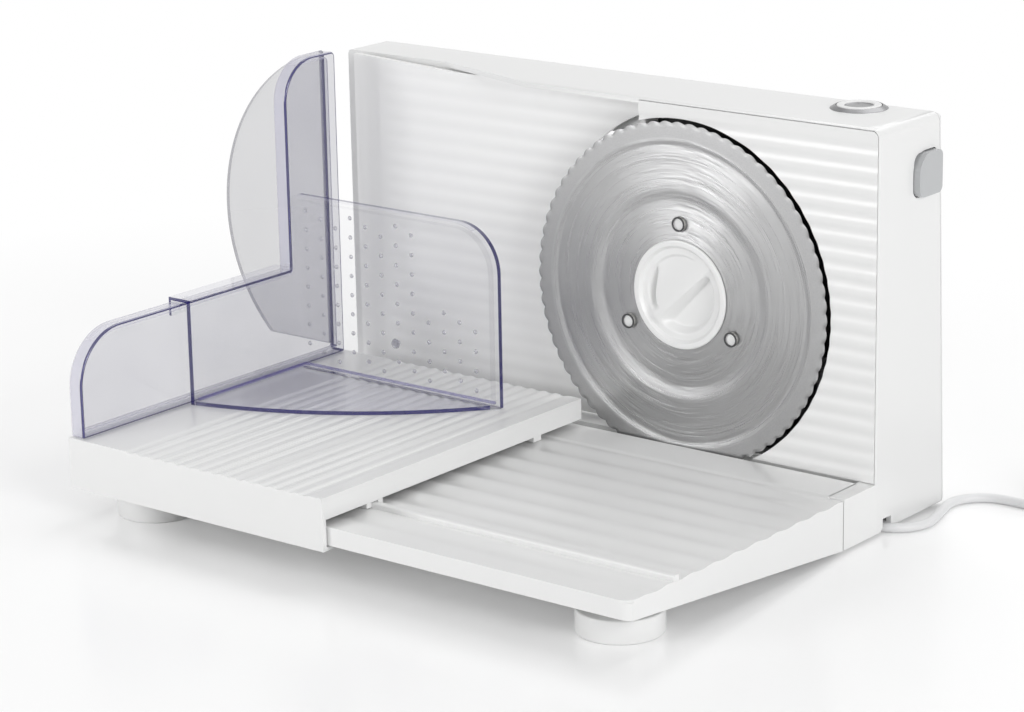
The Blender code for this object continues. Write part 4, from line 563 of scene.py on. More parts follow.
def combined(item: Item, others: Sequence[Item], operation: str) -> Item:
    """Apply a Boolean with each of the other solids, then remove them."""
    for other in others:
        modifier = item.modifiers.new(operation.title(), "BOOLEAN")
        modifier.operation = operation
        modifier.solver = "EXACT"
        modifier.object = other
    settled(item)
    for other in others:
        bpy.data.objects.remove(other)
    return item


def cad_copy(node: str, name: str) -> Item:
    """Return a welded copy of a CAD node, in the slicer's coordinates."""
    bm = bmesh.new()
    bm.from_mesh(frame["nodes"][node].data)
    bmesh.ops.remove_doubles(bm, verts=bm.verts, dist=HAIR)
    bmesh.ops.dissolve_limit(bm, angle_limit=math.radians(0.5), verts=bm.verts, edges=bm.edges)
    return place(solid(bm, name), Matrix.Translation(-ORIGIN))


def softened(item: Item, width: float, segments: int = 3, material: int = -1) -> Item:
    """Round a piece's sharp edges and keep its flat faces flat.

    Args:
        item: The piece.
        width: The rounding's width.
        segments: The rounding's steps.
        material: The material number of the rounding, or -1 for the faces' own.

    Returns:
        The piece.
    """
    item.data.shade_smooth()
    bevel = item.modifiers.new("Rounding", "BEVEL")
    bevel.limit_method = "ANGLE"
    bevel.angle_limit = ROUNDED
    bevel.width = width
    bevel.segments = segments
    bevel.material = material
    bevel.use_clamp_overlap = True
    item.modifiers.new("Shading", "WEIGHTED_NORMAL").weight = 80
    return item


def tint(item: Item, rule: Callable[[Face], int]) -> None:
    """Give each face the material number that a rule picks."""
    for face in item.data.polygons:
        face.material_index = int(rule(face))


# Geometry Nodes


class Recipe(Graph):
    """A Geometry Nodes tree with named inputs that ends in plain mesh and one material."""

    SOCKETS = {float: "NodeSocketFloat", int: "NodeSocketInt"}

    def __init__(self, name: str, inputs: dict[str, Union[float, int, str]]) -> None:
        """Make the tree's interface.

        Args:
            name: The tree's name.
            inputs: The inputs' names with their usual numbers, or "Object".
        """
        tree = bpy.data.node_groups.new(name, "GeometryNodeTree")
        super().__init__(tree)
        tree.interface.new_socket("Geometry", in_out="INPUT", socket_type="NodeSocketGeometry")
        for key, usual in inputs.items():
            kind = "NodeSocketObject" if isinstance(usual, str) else self.SOCKETS[type(usual)]
            socket = tree.interface.new_socket(key, in_out="INPUT", socket_type=kind)
            if not isinstance(usual, str):
                socket.default_value = usual
        tree.interface.new_socket("Material", in_out="INPUT", socket_type="NodeSocketMaterial")
        tree.interface.new_socket("Geometry", in_out="OUTPUT", socket_type="NodeSocketGeometry")
        self.start = self.node("NodeGroupInput")
        self.end = self.node("NodeGroupOutput")

    def given(self, name: str) -> Signal:
        """Return one of the tree's inputs."""
        return Signal(self, self.start.outputs[name])

    def moved(self, geometry: Signal, x: Value, y: Value, z: Value) -> Signal:
        """Return a geometry whose points have new places."""
        values = {"Geometry": geometry, "Position": self.merge(x, y, z)}
        return self.out("GeometryNodeSetPosition", None, values)

    def close(self, geometry: Signal) -> None:
        """End the tree in Realize Instances and Set Material."""
        real = self.out("GeometryNodeRealizeInstances", None, {0: geometry})
        values = {"Geometry": real, "Material": self.given("Material")}
        self.tree.links.new(self.out("GeometryNodeSetMaterial", None, values).socket, self.end.inputs[0])

    def run(self, item: Item, material: Material, **values: object) -> Item:
        """Run the tree on a piece and keep the result as its plain mesh.

        Args:
            item: The piece whose mesh the tree starts from.
            material: The material that the tree sets.
            values: The inputs' values, with _ for a space.

        Returns:
            The piece.
        """
        modifier = item.modifiers.new("Recipe", "NODES")
        modifier.node_group = self.tree
        entries = self.tree.interface.items_tree
        keys = {entry.name: entry.identifier for entry in entries if entry.in_out == "INPUT"}
        for name, value in values.items():
            modifier[keys[name.replace("_", " ")]] = value
        modifier[keys["Material"]] = material
        return settled(item)


def flute_recipe() -> Recipe:
    """Return the tree of a fluted sheet, whose flutes run along X and follow each other along Y."""
    recipe = Recipe("fluted_sheet", {
        "Length": 0.1, "Width": 0.1, "Pitch": 0.008, "Depth": 0.0006, "First": 0.004, "Start": 0.0,
        "End": 0.1, "Margin": -0.01, "Fade": 0.004, "Sharpness": 1.0, "Columns": 2, "Rows": 100,
    })
    given = recipe.given
    values = {
        "Size X": given("Length"),
        "Size Y": given("Width"),
        "Vertices X": given("Columns"),
        "Vertices Y": given("Rows"),
    }
    grid = recipe.out("GeometryNodeMeshGrid", None, values, "Mesh")
    x, y, _ = recipe.split(recipe.out("GeometryNodeInputPosition"))
    x = x + given("Length") * 0.5
    y = y + given("Width") * 0.5
    phase = (y - given("First")) / given("Pitch") * (2 * math.pi)
    valley = (phase.math("COSINE") * 0.5 + 0.5) ** given("Sharpness")
    within = (y > given("Start")) * (y < given("End"))
    margin = given("Margin")
    fade = recipe.ramp(x, margin, margin + given("Fade"))
    z = valley * within * fade * given("Depth") * -1.0
    recipe.close(recipe.moved(grid, x, y, z))
    return recipe


def stud_recipe() -> Recipe:
    """Return the tree of the nubs that stand in slanting rows on a plate."""
    recipe = Recipe("nub_rows", {
        "Columns": 12, "Rows": 8, "Column Pitch": 0.01, "Row Pitch": 0.01, "Drop": 0.003345,
        "Blank X": 0.07, "Blank Z": -0.04, "Radius": 0.0012, "Flatness": 0.7,
    })
    given = recipe.given
    count = given("Columns") * given("Rows")
    line = recipe.out("GeometryNodeMeshLine", None, {"Count": count}, "Mesh")
    index = recipe.out("GeometryNodeInputIndex")
    column = (index / given("Rows")).math("FLOOR")
    row = index.math("MODULO", given("Rows"))
    pitch = given("Row Pitch")
    x = column * given("Column Pitch")
    z = (row * pitch + (column * given("Drop")).math("MODULO", pitch)) * -1.0
    moved = recipe.moved(line, x, 0.0, z)
    px, _, pz = recipe.split(recipe.out("GeometryNodeInputPosition"))
    blank = (px > given("Blank X")) * (pz > given("Blank Z"))
    kept = recipe.out("GeometryNodeDeleteGeometry", None, {"Geometry": moved, "Selection": blank})
    ball = recipe.out("GeometryNodeMeshUVSphere", None, {
        "Segments": 10, "Rings": 6, "Radius": given("Radius"),
    }, "Mesh")
    recipe.close(recipe.out("GeometryNodeInstanceOnPoints", None, {
        "Points": kept, "Instance": ball, "Scale": recipe.merge(1.0, given("Flatness"), 1.0),
    }))
    return recipe


def wave_recipe() -> Recipe:
    """Return the tree that grinds waves into a disc's rim about the Y axis."""
    recipe = Recipe("waved_rim", {
        "Waves": 72, "Depth": 0.0009, "Radius": 0.085, "Band": 0.0022, "Hollow": 0.0004,
    })
    given = recipe.given
    x, y, z = recipe.split(recipe.out("GeometryNodeInputPosition"))
    radius = (x * x + z * z).math("SQRT")
    turn = z.math("ARCTAN2", x)
    wave = 1.0 - (turn * given("Waves") * 0.5).math("COSINE").math("ABSOLUTE")
    band = recipe.ramp(radius, given("Radius") - given("Band"), given("Radius"))
    share = 1.0 - wave * band * given("Depth") / radius
    ground = y + wave * band * given("Hollow")
    recipe.close(recipe.moved(given("Geometry"), x * share, ground, z * share))
    return recipe


def copy_recipe() -> Recipe:
    """Return the tree that sets a copy of a piece on each point, turned about Z as the points go round."""
    recipe = Recipe("copies_on_points", {"Item": "Object", "Turned": 0.0})
    x, y, _ = recipe.split(recipe.out("GeometryNodeInputPosition"))
    angle = y.math("ARCTAN2", x) * recipe.given("Turned")
    item = recipe.out("GeometryNodeObjectInfo", None, {"Object": recipe.given("Item")}, "Geometry")
    recipe.close(recipe.out("GeometryNodeInstanceOnPoints", None, {
        "Points": recipe.given("Geometry"), "Instance": item, "Rotation": recipe.merge(0.0, 0.0, angle),
    }))
    return recipe


class Recipes:
    """The slicer's Geometry Nodes trees."""

    def __init__(self) -> None:
        """Build the trees."""
        self.flutes = flute_recipe()
        self.nubs = stud_recipe()
        self.waves = wave_recipe()
        self.copies = copy_recipe()


@dataclass
class Workshop:
    """What every sub-assembly shares: the finishes, the trees and the way that a piece is handed over."""

    finishes: Finishes
    recipes: Recipes

    def hand_over(
        self, item: Item, body: Body, slot: Slot, *nodes: str, materials: Optional[Sequence[Material]] = None
    ) -> Item:
        """Dress a piece, move it into the frame and let it ride on its body.

        Args:
            item: The piece, in the slicer's coordinates.
            body: The body that it rides on.
            slot: The record's slot that it takes its finish from.
            nodes: The CAD nodes that it stands for.
            materials: Its materials, where they aren't the slot's one.

        Returns:
            The piece.
        """
        if not any(modifier.type == "WEIGHTED_NORMAL" for modifier in item.modifiers):
            item.data.shade_smooth()
            item.data.set_sharp_from_angle(angle=SHARP)
        faces = [polygon.material_index for polygon in item.data.polygons]
        item.data.materials.clear()
        for material in materials or [self.finishes.by_slot[slot]]:
            item.data.materials.append(material)
        if materials:
            item.data.polygons.foreach_set("material_index", faces)
        place(item, Matrix.Translation(ORIGIN))
        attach(item, body.value)
        if nodes:
            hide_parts(*nodes)
        LOG.info("%s: %d faces on %s", item.name, len(item.data.polygons), body.value)
        return item

    def fluted(self, name: str, matrix: Matrix, thickness: float, **values: float) -> Item:
        """Return a fluted white plate.

        Args:
            name: The plate's name.
            matrix: The place of the sheet's corner and its directions.
            thickness: The plate's thickness, behind its fluted face.
            values: The recipe's inputs.

        Returns:
            The plate.
        """
        sheet = linked(name, bpy.data.meshes.new(name))
        self.recipes.flutes.run(sheet, self.finishes.by_slot[Slot.WHITE], **values)
        bm = bmesh.new()
        bm.from_mesh(sheet.data)
        made = bmesh.ops.extrude_face_region(bm, geom=bm.faces[:], use_keep_orig=True)
        for vert in made["geom"]:
            if isinstance(vert, bmesh.types.BMVert):
                vert.co.z = -thickness
        bmesh.ops.recalc_face_normals(bm, faces=bm.faces)
        bm.to_mesh(sheet.data)
        bm.free()
        return place(sheet, matrix)

    def ribbed(
        self, name: str, corner: Sequence[float], size: Point, thickness: float, pitch: float, valley: float,
        **values: float,
    ) -> Item:
        """Return an upright plate that faces the front, with level flutes one above the other.

        Args:
            name: The plate's name.
            corner: The left foot of its face.
            size: Its width and its height.
            thickness: Its thickness, behind its face.
            pitch: The flutes' pitch.
            valley: The height of the lowest valley.
            values: The recipe's other inputs.

        Returns:
            The plate.
        """
        left, face, low = corner
        length, width = size
        matrix = Matrix(((1, 0, 0, left), (0, 0, -1, face), (0, 1, 0, low), (0, 0, 0, 1)))
        return self.fluted(
            name, matrix, thickness, Length=length, Width=width, Pitch=pitch, First=valley - low,
            Start=pitch / 4, End=width - pitch / 2, Rows=int(width / pitch * 12), Sharpness=1.3, **values,
        )

    def copies(
        self, name: str, item: Item, points: Sequence[Sequence[float]], slot: Slot, turned: float = 0.0
    ) -> Item:
        """Return one mesh with a copy of a piece on each point, and remove the piece."""
        mesh = bpy.data.meshes.new(name)
        mesh.from_pydata([tuple(point) for point in points], [], [])
        made = linked(name, mesh)
        self.recipes.copies.run(made, self.finishes.by_slot[slot], Item=item, Turned=turned)
        bpy.data.objects.remove(item)
        return made


class Assembly:
    """A sub-assembly of the slicer."""

    def build(self, shop: Workshop) -> None:
        """Make the sub-assembly's pieces and hand them over.

        Args:
            shop: The workshop that dresses the pieces.
        """
        raise NotImplementedError


# Studio


@dataclass
class Studio:
    """Camera, soft light and pale floor."""

    eye: tuple[float, float, float] = (0.9668, -1.16319, 0.5006)
    yaw: float = 0.676
    pitch: float = -0.277
    roll: float = -0.019
    lens: float = 113.76
    floor: float = 6.0
    glow: float = 0.14
    shade_near: float = 0.3
    shade_far: float = 0.64
    daylight: float = 0.41
    paint: tuple[float, float] = (0.93, 0.95)
    lamps: tuple[tuple[str, tuple[float, float, float], Point, float], ...] = (
        ("overhead", (-0.1, 0.85, 1.25), (1.0, 1.0), 7.0),
        ("front", (-0.68, -1.33, 0.42), (0.5, 0.6), 7.0),
        ("side", (1.95, -0.6, 0.8), (1.0, 1.0), 18.5),
    )

    def camera(self) -> None:
        """Set the camera at the photograph's place."""
        forward = Vector((
            -math.sin(self.yaw) * math.cos(self.pitch),
            math.cos(self.yaw) * math.cos(self.pitch),
            math.sin(self.pitch),
        ))
        level = Vector((math.cos(self.yaw), math.sin(self.yaw), 0.0))
        upright = level.cross(forward)
        right = level * math.cos(self.roll) + upright * math.sin(self.roll)
        up = upright * math.cos(self.roll) - level * math.sin(self.roll)
        data = bpy.data.cameras.new("camera")
        data.lens = self.lens
        data.sensor_width = 36.0
        data.clip_start = 0.05
        camera = linked("camera", data)
        turn = Matrix((right, up, -forward)).transposed().to_4x4()
        camera.matrix_world = Matrix.Translation(self.eye) @ turn
        bpy.context.scene.camera = camera

    def lamp(self, name: str, where: Sequence[float], size: Point, power: float) -> None:
        """Add a soft lamp of a width and height that looks at the object's middle."""
        data = bpy.data.lights.new(name, "AREA")
        data.shape = "RECTANGLE"
        data.size, data.size_y = size
        data.energy = power
        lamp = linked(name, data)
        lamp.location = where
        lamp.rotation_euler = (Vector((0.0, 0.0, AXIS)) - Vector(where)).to_track_quat("-Z", "Y").to_euler()

    def world(self) -> None:
        """Light evenly from all round, in front of a white background."""
        world = bpy.data.worlds.new("studio")
        bpy.context.scene.world = world
        world.use_nodes = True
        graph = Graph(world.node_tree)
        graph.tree.nodes.clear()
        light = graph.node("ShaderNodeBackground", None, {0: WHITE_LIGHT, 1: self.daylight})
        white = graph.node("ShaderNodeBackground", None, {0: WHITE_LIGHT, 1: 1.0})
        mix = graph.mixed(graph.seen(), light, white)
        graph.node("ShaderNodeOutputWorld", None, {0: mix.outputs[0]})

    def ground(self) -> None:
        """Add a pale floor, faintly glossy, that keeps the object's shadow and is white further off."""
        floor = block("floor", (-self.floor, -self.floor, -0.02), (self.floor, self.floor, 0.0))
        look = Look("floor_paint")
        place = look.coordinates()
        tone = look.noise(place, 3.0, 2.0)
        x, y, _ = look.split(place)
        far = look.ramp((x * x + y * y).math("SQRT"), self.shade_near, self.shade_far)
        dark, pale = self.paint
        paint = look.node("ShaderNodeBsdfPrincipled", None, {
            "Base Color": look.blend(tone, (dark, dark, dark), (pale, pale, pale)),
            "Roughness": tone * 0.04 + 0.18,
        })
        lift = look.node("ShaderNodeEmission", None, {0: WHITE_LIGHT, 1: self.glow})
        near = look.node("ShaderNodeAddShader", None, {0: paint.outputs[0], 1: lift.outputs[0]})
        white = look.node("ShaderNodeEmission", None, {0: WHITE_LIGHT, 1: 1.0})
        both = look.mixed(look.seen(), paint, look.mixed(far, near, white))
        look.tree.links.new(both.outputs[0], look.end.inputs[0])
        floor.data.materials.append(look.material)

    def build(self) -> None:
        """Set up the whole studio."""
        self.camera()
        self.world()
        self.ground()
        for lamp in self.lamps:
            self.lamp(*lamp)
        bpy.context.scene.view_settings.view_transform = "Standard"


# Cord


@dataclass
class MainsCord(Assembly):
    """Free mains cord: its run on the floor, its coil and its plug."""

    radius: float = 0.0023
    lift: float = 0.00005
    front: float = 0.0785
    middle: float = 0.178
    inner: float = 0.0185
    pitch: float = 0.0052
    turns: int = 7
    climb: float = 0.5
    tail: float = 0.022
    length: float = 1.309
    steps: int = 32
    between: int = 2
    pins: float = 0.0192
    plug_round: float = 0.0012
    route: tuple[Point, ...] = (
        (0.1048, 0.0095), (0.1113, 0.0107), (0.1174, 0.0144), (0.1217, 0.0200),
        (0.1237, 0.0269), (0.1231, 0.0339), (0.1205, 0.0439), (0.1178, 0.0540),
        (0.1172, 0.0610), (0.1192, 0.0679), (0.1236, 0.0735), (0.1296, 0.0772),
        (0.1366, 0.0785), (0.1457, 0.0785), (0.1548, 0.0785), (0.1640, 0.0785),
        (0.1731, 0.0785),
    )

    def run(self) -> list[Vector]:
        """Return the points of the stretch from the housing to the coil."""
        height = self.radius + self.lift
        route = [Vector((x, y, height)) for x, y in self.route]
        route = [route[0] * 2 - route[1]] + route + [route[-1] * 2 - route[-2]]
        points = []
        for index in range(1, len(route) - 2):
            before, here, after, beyond = route[index - 1 : index + 3]
            for step in range(self.between):
                t = step / self.between
                points.append((
                    here * 2
                    + (after - before) * t
                    + (before * 2 - here * 5 + after * 4 - beyond) * t ** 2
                    + (here * 3 - before - after * 3 + beyond) * t ** 3
                ) / 2)
        return points + [route[-2]]

    def coil(self) -> list[Vector]:
        """Return the coil's points: in along the floor, up a layer and out again."""
        low = self.radius + self.lift
        inward = (self.turns - self.climb) / 2
        outer = self.inner + self.pitch * inward
        middle = self.front + outer
        points = []
        for index in range(self.turns * self.steps + 1):
            turn = index / self.steps
            past = turn - inward
            if turn <= inward:
                radius, height = outer - self.pitch * turn, low
            elif past < self.climb:
                radius = self.inner - self.pitch * past * (1 - past / self.climb)
                height = low + self.pitch * past / self.climb
            else:
                radius, height = self.inner + self.pitch * (past - self.climb), low + self.pitch
            angle = 2 * math.pi * turn - math.pi / 2
            x, y = self.middle + radius * math.cos(angle), middle + radius * math.sin(angle)
            points.append(Vector((x, y, height)))
        return points + [Vector((self.middle + self.tail, self.front, low + self.pitch))]

    def plug(self, shop: Workshop) -> Item:
        """Make the plug with its steel pins."""
        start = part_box("plug")[1].x - ORIGIN.x - self.pins
        plug = softened(cad_copy("plug", "mains_plug"), self.plug_round, 4)
        tint(plug, lambda face: face.center.x > start)
        materials = [shop.finishes.by_slot[slot] for slot in (Slot.CORD, Slot.STEEL)]
        return shop.hand_over(plug, Body.HOUSING, Slot.CORD, "plug", materials=materials)

    def build(self, shop: Workshop) -> None:
        points = [point + ORIGIN for point in self.run() + self.coil()]
        curve = bpy.data.curves.new("mains_cord", "CURVE")
        curve.dimensions = "3D"
        curve.bevel_depth = self.radius
        curve.bevel_resolution = 4
        curve.use_fill_caps = True
        spline = curve.splines.new("POLY")
        spline.points.add(len(points) - 1)
        for target, point in zip(spline.points, points):
            target.co = (*point, 1.0)
        spline.use_smooth = True
        curve.materials.append(shop.finishes.by_slot[Slot.CORD])
        cord = linked("mains_cord", curve)
        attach(cord, Body.HOUSING.value)
        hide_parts("cord_run", "cord_coil")
        plug = self.plug(shop)
        tuple(points[0])


# Sub-assemblies


@dataclass
class Housing(Assembly):
    """Shell, rear cover, ribbed panel, cover screws and front feet."""

    rounding: float = 0.0007
    panel_round: float = 0.0004
    right: float = END
    top: float = 0.1954
    top_depth: float = 0.054
    foot_depth: float = 0.0626
    end_round: float = 0.005
    rear_round: float = 0.0055
    panel_left: float = -0.0239
    panel_right: float = 0.1107
    panel_low: float = 0.0265
    panel_high: float = 0.1941
    panel_corner: float = 0.003
    panel_hole: float = 0.0862
    panel: float = 0.0025
    seam: float = GAP
    switch_gap: float = 0.0006
    pitch: float = 0.00805
    valley: float = 0.033
    depth: float = 0.00042
    foot_radius: float = 0.020
    foot_top: float = 0.0112
    foot_stem: float = 0.009
    foot_high: float = 0.0229
    foot_y: float = -0.1662
    feet: tuple[float, float] = (-0.193, 0.0867)
    screw: float = 0.003
    screw_head: float = 0.001
    screw_shank: float = 0.0015
    screw_length: float = 0.012
    cross: float = 0.0017
    cross_half: float = 0.0003
    cross_depth: float = 0.0005

    def front_panel(self, shop: Workshop) -> Item:
        """Return the fluted panel with the blade's round hole."""
        size = (self.panel_right - self.panel_left, self.panel_high - self.panel_low)
        corner = (self.panel_left, 0, self.panel_low)
        panel = shop.ribbed(
            "ribbed_panel", corner, size, self.panel, self.pitch, self.valley, Depth=self.depth
        )
        hole = place(cylinder("hole", self.panel_hole, -CUT, CUT, 192), TO_AXIS)
        combined(panel, [hole], "DIFFERENCE")
        return combined(panel, [self.panel_outline("trim", 0.0, CUT)], "INTERSECT")

    def panel_outline(self, name: str, grown: float, reach: float) -> Item:
        """Return a plate of the panel's outline, with its rounded top corner at the housing's end."""
        left, right = self.panel_left - CUT, self.panel_right + grown
        low, high = self.panel_low - CUT, self.panel_high + grown
        corners = [(left, low, 0), (right, low, 0), (right, high, self.panel_corner), (left, high, 0)]
        return prism(name, rounded(corners), "Y", -CUT, reach)

    def edge_cutter(self, name: str, axis: str, edge: float, radius: float, lean: float) -> Item:
        """Return a bar that takes off one of the top's edges and leaves it round.

        Args:
            name: The cutter's name.
            axis: The axis that the edge runs along.
            edge: The edge's place across that axis.
            radius: The rounding's radius.
            lean: How far the wall under the edge has moved outward at the cutter's foot.

        Returns:
            The cutter.
        """
        out, top = CUT * 2, self.top
        outline = rounded([(edge + lean, top - out, 0), (edge, top, radius), (edge - out, top, 0)])
        outline += [(edge - out, top + out), (edge + out, top + out), (edge + out, top - out)]
        return prism(name, outline, axis, -1.0, 1.0)

    def edge_cutters(self) -> list[Item]:
        """Return the cutters that round the top's rear edge and its right end."""
        lean = (self.foot_depth - self.top_depth) / self.top * (CUT * 2)
        return [
            self.edge_cutter("rear_cutter", "X", self.top_depth, self.rear_round, lean),
            self.edge_cutter("end_cutter", "Y", self.right, self.end_round, 0.0),
        ]

    def shell(self) -> Item:
        """Return the shell with the panel's recess, the switch's opening and its round edges."""
        shell = cad_copy("housing_shell", "housing_body")
        recess = self.panel_outline("recess", self.seam, self.panel + self.seam)
        keep = block("keep", (self.panel_left, -1, self.panel_low - self.seam), (1, 1, 1))
        combined(recess, [keep], "INTERSECT")
        slot = prism("slot", StartSwitch().outline(self.switch_gap), "X", self.right - CUT, self.right + CUT)
        return combined(shell, [recess, slot, *self.edge_cutters()], "DIFFERENCE")

    def screws(self, shop: Workshop, nodes: Sequence[str]) -> Item:
        """Return the rear cover's screws, with cross recesses in their heads."""
        head = lathe("head", filleted([
            (0, 0, 0),
            (self.screw, 0, 0.0006),
            (self.screw, self.screw_head, 0),
            (self.screw_shank, self.screw_head, 0),
            (self.screw_shank, self.screw_length, 0),
            (0, self.screw_length, 0),
        ]), 32)
        arms = []
        for turn in (0.0, math.pi / 2):
            low = (-self.cross, -CUT / 4, -self.cross_half)
            arm = block("arm", low, (self.cross, self.cross_depth, self.cross_half))
            arms.append(place(arm, Matrix.Rotation(turn, 4, "Y")))
        combined(head, arms, "DIFFERENCE")
        place(head, Matrix.Rotation(math.pi, 4, "Z"))
        points = []
        for node in nodes:
            low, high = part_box(node)
            points.append(((low.x + high.x) / 2 - ORIGIN.x, high.y - ORIGIN.y, (low.z + high.z) / 2))
        return shop.copies("cover_screws", head, points, Slot.STEEL)

    def front_feet(self, shop: Workshop) -> Item:
        """Return the two round front feet."""
        foot = lathe("foot", filleted([
            (0, 0, 0),
            (self.foot_radius, 0, 0.0012),
            (self.foot_radius, self.foot_top, 0.0008),
            (self.foot_stem, self.foot_top, 0.0005),
            (self.foot_stem, self.foot_high, 0),
            (0, self.foot_high, 0),
        ]), 96, "Z")
        return shop.copies("front_feet", foot, [(x, self.foot_y, 0) for x in self.feet], Slot.WHITE)

    def build(self, shop: Workshop) -> None:
        """Make the housing's pieces."""
        plain = (Body.HOUSING, Slot.WHITE)
        shop.hand_over(softened(self.shell(), self.rounding), *plain, "housing_shell")
        cover = combined(cad_copy("rear_cover", "back_cover"), self.edge_cutters(), "DIFFERENCE")
        shop.hand_over(softened(cover, self.rounding), *plain, "rear_cover")
        shop.hand_over(softened(self.front_panel(shop), self.panel_round, 2), *plain, "front_panel")
        screws = [f"cover_screw_{index}" for index in range(1, 5)]
        shop.hand_over(self.screws(shop, screws), Body.HOUSING, Slot.STEEL, *screws)
        shop.hand_over(self.front_feet(shop), *plain, "front_foot_left", "front_foot_right")


@dataclass
class Blade(Assembly):
    """Turned blade with its waved edge, the pegs that drive it and the knob that locks it."""

    radius: float = 0.085
    bore: float = 0.024
    seat: float = 0.049
    step: float = 0.0525
    seat_blend: float = 0.004
    blend: float = 0.001
    ring: float = 0.0735
    ring_step: float = 0.076
    seat_front: float = 0.0005
    body_front: float = -0.0009
    rim_front: float = -0.0016
    thickness: float = 0.001
    edge: float = 0.0001
    groove: float = 0.00012
    groove_width: float = 0.0011
    waves: int = 72
    wave_depth: float = 0.0011
    peg: float = 0.0029
    peg_gap: float = 0.0008
    peg_circle: float = 0.035
    cap_front: float = -0.0005
    cap_round: float = 0.0005
    # The dark rings in the peg holes are painted shade: dark plastic set where there is only the holes'
    # shadow gap.
    shade_ring_sunk: float = 0.0004
    seal: float = 0.0005
    shade_ring_gap: float = 0.00005
    knob: float = 0.027
    knob_round: Point = (0.0006, 0.0002)
    knob_margin: float = 0.001
    lip: float = 0.0243
    bowl: float = 0.0227
    bowl_floor: float = 0.0053
    collar: float = 0.0236
    collar_back: float = 0.0014
    collar_drop: float = 0.0017
    well: float = 0.0198
    well_foot: float = 0.0165
    shelf: float = 0.0155
    shelf_drop: float = 0.0022
    shelf_reach: float = 0.017
    shelf_edge: float = 0.0016
    shelf_from: float = math.radians(170)
    shelf_turn: float = math.radians(75)
    knob_front: float = -0.0008
    knob_seat: float = 0.0002
    cup: float = 0.020
    knob_back: float = 0.0061
    grip_angle: float = math.radians(41)
    grip_start: float = -0.0178
    grip_end: float = 0.0245
    grip_half: float = 0.0036
    grip_taper: Point = (1.15, 0.75)
    grip_crown: Point = (0.35, 1.25)
    crest: float = 0.0002
    crest_rise: float = 0.0006
    around: int = 144
    rows: int = 55

    def front(self, radius: float) -> float:
        """Return the depth of the blade's front face at a radius."""
        depth = self.seat_front
        body = eased(radius, self.seat - self.seat_blend, self.step + self.blend)
        depth += (self.body_front - depth) * body
        groove = math.exp(-(((radius - self.ring) / self.groove_width) ** 2)) * self.groove
        rim = eased(radius, self.ring - self.blend, self.ring_step + self.blend)
        depth += (self.rim_front - self.body_front) * rim + groove
        return depth + self.tip(radius) * (self.thickness - self.edge) / 2

    def tip(self, radius: float) -> float:
        """Return 0 to 1 from the rim's step to the edge."""
        return max(0.0, (radius - self.ring_step) / (self.radius - self.ring_step))

    def disc(self, shop: Workshop) -> Item:
        """Return the blade's disc with its waved edge and peg holes."""
        steps = [self.bore + (self.radius - self.bore) * index / 90 for index in range(91)]
        front = [(radius, self.front(radius)) for radius in steps]
        back = []
        for radius in reversed(steps[::3]):
            thickness = self.thickness - self.tip(radius) * (self.thickness - self.edge)
            back.append((radius, self.front(radius) + thickness))
        disc = lathe("blade_disc", front + back, self.waves * 8)
        finish = shop.finishes.by_slot[Slot.BLADE]
        shop.recipes.waves.run(disc, finish, Waves=self.waves, Radius=self.radius, Depth=self.wave_depth)
        holes = []
        for x, z in self.pegs():
            hole = cylinder("hole", self.peg + self.peg_gap, -CUT, CUT, 40)
            holes.append(place(hole, Matrix.Translation((x, 0, z))))
        return place(combined(disc, holes, "DIFFERENCE"), TO_AXIS)

    def pegs(self) -> list[Point]:
        """Return the pegs' places about the axis, the first one straight up."""
        angles = [math.pi / 2 + 2 * math.pi * index / 3 for index in range(3)]
        reach = self.peg_circle
        return [(reach * math.cos(angle), reach * math.sin(angle)) for angle in angles]

    def knob_depth(self, radius: float, angle: float) -> float:
        """Return the knob's front depth: a bowl crossed by a grip, with a shelf above the grip.

        Args:
            radius: The distance from the axis.
            angle: The angle about the axis, from the right.

        Returns:
            The depth from the front panel's face.
        """
        depth = self.knob_front + self.collar_drop * eased((self.lip - radius) / (self.lip - self.bowl))
        sunk = self.bowl_floor - self.knob_front - self.collar_drop
        depth += sunk * eased((self.well - radius) / (self.well - self.well_foot))
        along = radius * math.cos(angle - self.grip_angle)
        across = radius * math.sin(angle - self.grip_angle)
        share = (along - self.grip_start) / (self.grip_end - self.grip_start)
        if share <= 0:
            across = math.hypot(across, along - self.grip_start)
            share = 0.0
        wide, narrowing = self.grip_taper
        half = self.grip_half * (wide - narrowing * min(1.0, share))
        flat, flank = self.grip_crown
        ridge = 1 - eased((abs(across) - half * flat) / (half * flank))
        crest = self.knob_front + self.crest + self.crest_rise * share
        grip = depth + (min(depth, crest) - depth) * ridge
        upper = radius * math.sin(angle - self.grip_angle)
        if upper <= 0:
            return grip
        turned = eased((self.shelf_from - angle) / self.shelf_turn)
        reach = self.shelf + (self.lip - self.shelf) * turned
        within = 1 - eased((radius - reach) / self.shelf_edge + 0.5)
        shelf = crest + self.shelf_drop * eased(upper / self.shelf_reach)
        return min(grip, depth + (min(depth, shelf) - depth) * within)

